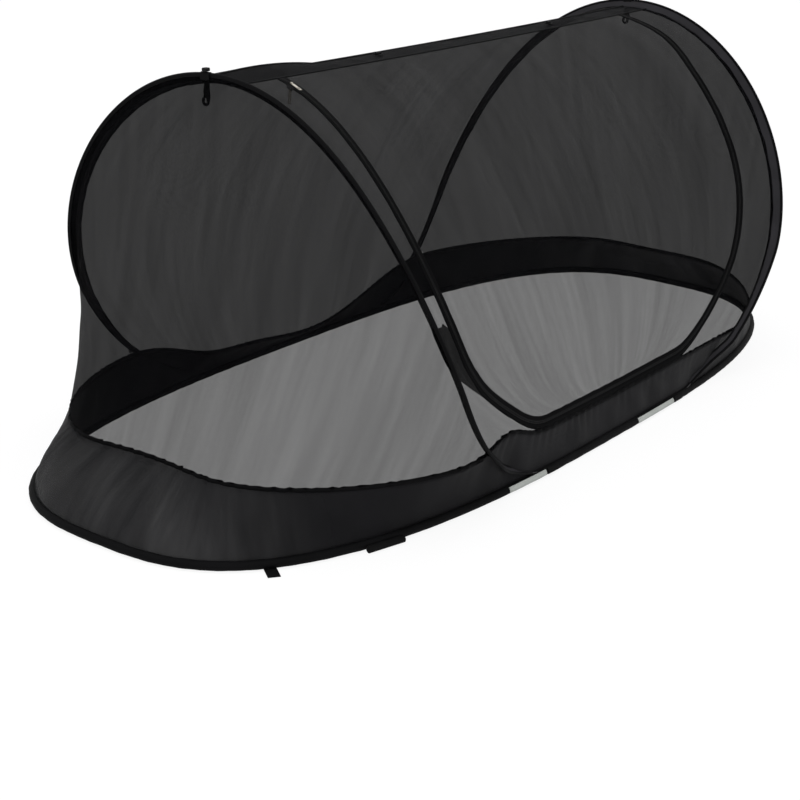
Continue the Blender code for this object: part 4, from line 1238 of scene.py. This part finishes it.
def build_zip():
    """Both tapes of the zip, with the coil teeth along their edges and the stitches of their seams."""
    for side, name, node in ((1, "zip_frame_tape", "zip_tape_frame"), (-1, "zip_door_tape", "zip_tape_door")):
        rings, spots = [], []
        run = 0
        for step, (centre, outward, normal) in enumerate(zip(zip_centres, zip_outward, zip_normals)):
            half = 0.00045
            run += np.linalg.norm(centre - zip_centres[max(step - 1, 0)])
            edge = zip_tape_half + 0.0006 * ruffle(run, 71 + side, 0.03, 0.11)
            if side > 0:
                edge += zip_overlap(step) + hump(run, *tape_end_flare)
            lip, drop = (-0.0012, half * 2) if side > 0 else (0.0003, 0)
            outline = (
                (lip, -half - drop), (zip_tape_half * 0.55, -half * 1.2), (edge, -half),
                (edge, half), (zip_tape_half * 0.55, half * 1.2), (lip, half - drop),
            )
            rings.append([centre + outward * side * a + normal * b for a, b in outline])
            spots.append(centre + outward * side * 0.0018)
        tape = add_sweep(name, rings, zip_cloth)
        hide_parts(node)
        pitch, size = bar_kinds["teeth"]
        points, outs, ups = spaced(spots, pitch, zip_outward, zip_normals)
        if side < 0:
            points = (points[1:] + points[:-1]) / 2
            outs, ups = outs[1:], ups[1:]
        outs = [unit(out) for out in outs]
        teeth = rows_of_bars(name + "_teeth", points, outs, ups, size, tooth_plastic)
        seam = [centre + outward * side * zip_tape_half * 0.84 + normal * 0.0006
                for centre, outward, normal in zip(zip_centres, zip_outward, zip_normals)]
        stitches = row_of_stitches(name + "_stitches", "zip", seam, zip_along, zip_normals, thread)
        for piece in (tape, teeth, stitches):
            if side > 0:
                bend(piece)
            else:
                ride_door(piece)


def build_fray():
    """Loose threads at the cut top end of the frame's zip tape."""
    numbers = np.random.default_rng(91)
    points, ways, ups = [], [], []
    for _ in range(26):
        place = 2.5 + numbers.uniform(0, 1.3)
        first = int(place)
        centre = zip_centres[first] + (zip_centres[first + 1] - zip_centres[first]) * (place - first)
        reach = zip_tape_half + numbers.uniform(0.002, 0.006)
        lean = zip_outward[first] + zip_along[first] * numbers.uniform(-0.5, 0.7) + np.array([0, -0.3, -0.5])
        points.append(centre + zip_outward[first] * reach + zip_normals[first] * numbers.uniform(0, 0.001))
        ways.append(unit(lean))
        ups.append(zip_normals[first])
    fray = rows_of_bars("zip_tape_fray", points, ways, ups, fray_size, thread)
    bend(fray)


# Ridge

def build_ridge():
    """Doubled net along the ridge with a bound seam on each edge."""
    reach = abs(seam_point(crown, -1, 0.0016)[0])
    rows, columns = 7, 81
    grid = []
    for row in range(rows):
        across = 2 * row / (rows - 1) - 1
        line = []
        for column in range(columns):
            share = column / (columns - 1)
            near_level, far_level = ridge_edge(share, -1)[2], ridge_edge(share, 1)[2]
            level = near_level + (far_level - near_level) * (across + 1) / 2
            level += ridge_crown * (1 - abs(across)) - 0.0004
            sag = 0.0012 * ruffle(share * 1.6, 61, 0.15, 0.5) * math.sin(math.pi * share)
            line.append(np.array([reach * (2 * share - 1), across * (ridge_edge_y - 2 * gap), level + sag]))
        grid.append(line)
    made = add_cloth("ridge_band_cloth", grid, ridge_net)
    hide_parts("ridge_band")
    declare_sheet(grid)
    bend(made)
    wide, tall = 0.0035, 0.0011
    outline = ((-wide, -tall), (wide, -tall), (wide, tall * 0.6), (0, tall * 1.5), (-wide, tall * 0.6))
    for side, label in ((-1, "near"), (1, "far")):
        rings = []
        for column in range(columns):
            point = ridge_edge(column / (columns - 1), side)
            point[0] *= reach / seam_leg[-1][0]
            rings.append([point + np.array([0, a, b]) for a, b in outline])
        seam = add_sweep(f"{label}_ridge_seam", rings, binding_cloth)
        bend(seam)


# Small parts

def near_rim(x):
    """Point on the rim sleeve's centre line along the near side, on either half."""
    line = band_half[:len(band_half) // 2, :3]
    point = np.array([np.interp(abs(x), line[:, 0], line[:, axis]) for axis in range(3)])
    point[0] = x
    return point


def build_wrap(name, node, x, length, thickness, finish, stitch, body):
    """Strip of tape bent over the outer side of the rim, with a sewn edge all round."""
    rings, edge_points, facing = [], [], []
    stations, parts = 21, 12
    middle, spread = math.radians(162), math.radians(34)
    inner, outer = rim_sleeve_diameter / 2 + 0.0002, rim_sleeve_diameter / 2 + thickness
    for station in range(stations):
        along = station / (stations - 1) - 0.5
        centre = near_rim(x + length * along)
        outline = []
        for radius, turn in ((inner, 1), (outer, -1)):
            angles = [middle + spread * (2 * part / parts - 1) for part in range(parts + 1)]
            outline += [(radius * math.cos(angle), radius * math.sin(angle)) for angle in angles][::turn]
        rings.append([centre + np.array([0, a, b]) for a, b in outline])
    wrap = add_sweep(name, rings, finish)
    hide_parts(node)
    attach(wrap, body)
    border = []
    inset = 0.0035
    for share_along, share_round in outline_path(inset / length, inset / (2 * spread * outer)):
        centre = near_rim(x + length * (share_along - 0.5))
        angle = middle + spread * (2 * share_round - 1)
        out = np.array([0, math.cos(angle), math.sin(angle)])
        border.append(centre + out * outer)
        facing.append(out)
    stitches = row_of_stitches(name + "_stitches", "patch", border, tangents(border), facing, stitch)
    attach(stitches, body)
    return wrap, stitches


def outline_path(first, second, count=20):
    """Rounded walk round a unit square, kept in from its edges."""
    low, high = (first, second), (1 - first, 1 - second)
    corners = [low, (high[0], low[1]), high, (low[0], high[1]), low]
    path = []
    for start, stop in zip(corners[:-1], corners[1:]):
        for step in range(count):
            share = step / count
            path.append((mix(start[0], stop[0], share), mix(start[1], stop[1], share)))
    return path + [corners[-1]]


def build_patches():
    """Pale patches and black keepers over the rim."""
    for label, body, patch_place, patch_length, keeper_place in (
        ("foot", "foot_half", -0.376, 0.130, -0.286),
        ("head", "root", 0.163, 0.172, 0.274),
    ):
        wrap, stitches = build_wrap(f"{label}_patch_tape", f"{label}_grey_patch", patch_place, patch_length,
                                    0.0011, patch_cloth, pale_thread, body)
        wrap, stitches = build_wrap(f"{label}_keeper_tape", f"{label}_keeper", keeper_place, 0.040,
                                    0.0017, strap_cloth, thread, body)


def build_hooks():
    """Sewn tape and moulded hook under each crown."""
    for end, label in ((1, "head"), (-1, "foot")):
        low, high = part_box(f"{label}_hook_tape")
        x, y = (low[0] + high[0]) / 2, (low[1] + high[1]) / 2
        top, foot = high[2], low[2] + 0.0013
        rings = []
        for step in range(13):
            share = step / 12
            z = mix(top, foot, share)
            half = 0.0066 + 0.0016 * smooth_step(share * 1.4)
            thick = 0.0010 + 0.0008 * smooth_step((share - 0.75) / 0.25)
            bow = 0.0004 * math.sin(math.pi * share * 3)
            outline = [
                (half, -thick * 0.5), (half * 0.9, -thick), (-half * 0.9, -thick), (-half, -thick * 0.5),
                (-half, thick * 0.5), (-half * 0.9, thick), (half * 0.9, thick), (half, thick * 0.5),
            ]
            rings.append([np.array([x + bow + b, y + a, z]) for a, b in outline])
        tape = add_sweep(f"{label}_hook_tape_cloth", rings, strap_cloth)
        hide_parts(f"{label}_hook_tape")
        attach(tape, "foot_half" if end < 0 else "root")
        path = [np.array([x, y - 0.0035, foot + 0.002 - 0.009 * step / 6]) for step in range(7)]
        bend_radius = 0.0062
        centre = path[-1] + np.array([0, bend_radius, 0])
        for step in range(1, 19):
            angle = math.pi + 1.12 * math.pi * step / 18
            path.append(centre + bend_radius * np.array([0, math.cos(angle), math.sin(angle)]))
        tip = unit(path[-1] - path[-2])
        path += [path[-1] + tip * 0.001 * step for step in range(1, 6)]
        rings = []
        for step, (point, along) in enumerate(zip(path, tangents(path))):
            share = step / (len(path) - 1)
            round_off = math.sqrt(max(0.04, 1 - max(0, (share - 0.9) / 0.1) ** 2))
            wide = 0.0052 - 0.0022 * smooth_step(share / 0.25) + 0.0006 * smooth_step((share - 0.7) / 0.2)
            wide, thick = wide * round_off, 0.0023 * round_off
            sideways = np.array([1.0, 0, 0])
            normal = unit(np.cross(sideways, along))
            turns = [math.pi * side / 6 for side in range(12)]
            rings.append([
                point + normal * wide * math.cos(turn) + sideways * thick * math.sin(turn) for turn in turns
            ])
        hook = add_sweep(f"{label}_hook_moulding", rings, hook_plastic)
        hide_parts(f"{label}_hook")
        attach(hook, f"{label}_hook")


def dress_nodes():
    """Better finishes for the CAD pieces that stay in view."""
    for finish, names in (
        (slider_metal, ("zip_slider", "outer_zip_pull", "inner_zip_pull")),
        (hook_plastic, ("head_crown_knob", "foot_crown_knob", "head_toggle", "foot_toggle")),
        (strap_cloth, ("head_crown_strap", "foot_crown_strap", "head_door_tie", "foot_door_tie",
                       "bed_tab", "bed_tie_roll")),
    ):
        for name in names:
            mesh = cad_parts[name].data
            mesh.materials.clear()
            mesh.materials.append(finish)


# Stage

def build_stage():
    """Plain pale floor, soft lamps and the camera."""
    reach, level = 30, -0.0005
    corners = [(-reach, -reach, level), (reach, -reach, level), (reach, reach, level), (-reach, reach, level)]
    floor = add_piece("floor", corners, [(0, 1, 2, 3)], floor_material(), smooth=False)
    world = bpy.data.worlds.new("studio")
    bpy.context.scene.world = world
    world.use_nodes = True
    tree = world.node_tree
    strength = math_node(tree, "MULTIPLY_ADD", seen_rays(tree), world_extra_in_view, world_light)
    feed(tree, tree.nodes["Background"], {"Color": (1, 1, 1, 1), "Strength": strength})
    for name, place, size, power in (
        ("overhead_lamp", (-0.8, -0.6, 5.0), 5.0, 60),
        ("front_lamp", (-4.5, -3.2, 3.6), 3.0, 36),
    ):
        lamp = bpy.data.lights.new(name, "AREA")
        lamp.energy = power
        lamp.size = size
        holder = add_object(name, lamp)
        holder.location = place
        aim = Vector(lamp_aim) - Vector(place)
        holder.rotation_euler = aim.to_track_quat("-Z", "Y").to_euler()
    camera = bpy.data.cameras.new("camera")
    camera.lens = camera_lens
    camera.sensor_width = 36
    holder = add_object("camera", camera)
    back = -Vector(camera_forward).normalized()
    right = Vector(camera_right).normalized()
    up = back.cross(right).normalized()
    right = up.cross(back)
    matrix = holder.matrix_world.to_3x3()
    for index, axis in enumerate((right, up, back)):
        matrix.col[index] = axis
    holder.matrix_world = matrix.to_4x4()
    holder.location = camera_place
    bpy.context.scene.camera = holder
    bpy.context.scene.view_settings.view_transform = "Standard"


def seen_rays(tree):
    """One for rays that show the background, straight, in a gloss or through something."""
    rays = tree.nodes.new("ShaderNodeLightPath").outputs
    seen = math_node(tree, "MAXIMUM", rays["Is Camera Ray"], rays["Is Glossy Ray"])
    return math_node(tree, "MAXIMUM", seen, rays["Is Transmission Ray"])


def floor_material():
    """White floor that still takes a soft share of the tent's shadow."""
    made, tree, shader = new_material("pale_floor", (0.86, 0.86, 0.87), 0.9, specular=0.1)
    noise = add_node(tree, "ShaderNodeTexNoise", {"Scale": 2.5, "Vector": coordinates(tree)})
    colour = two_colours(tree, noise.outputs["Fac"], (0.84, 0.84, 0.85), (0.87, 0.87, 0.875))
    feed(tree, shader, {"Base Color": colour})
    white = add_node(tree, "ShaderNodeEmission", {"Strength": floor_glow})
    blend = add_node(tree, "ShaderNodeMixShader", {
        "Fac": math_node(tree, "MULTIPLY", seen_rays(tree), floor_glow_share),
        1: shader.outputs["BSDF"], 2: white.outputs["Emission"],
    })
    feed(tree, tree.nodes["Material Output"], {"Surface": blend.outputs["Shader"]})
    return made


build_rim()
for end, label, body in ((1, "head", "root"), (-1, "foot", "foot_half")):
    build_hoop(end, label, body)
    build_hoop_hem(end, label, body)
    build_end_net(end, label, body)
build_hoop_wire()
build_band()
build_far_net()
build_near_strips()
build_door()
build_zip()
build_fray()
build_ridge()
build_patches()
build_hooks()
dress_nodes()
build_stage()
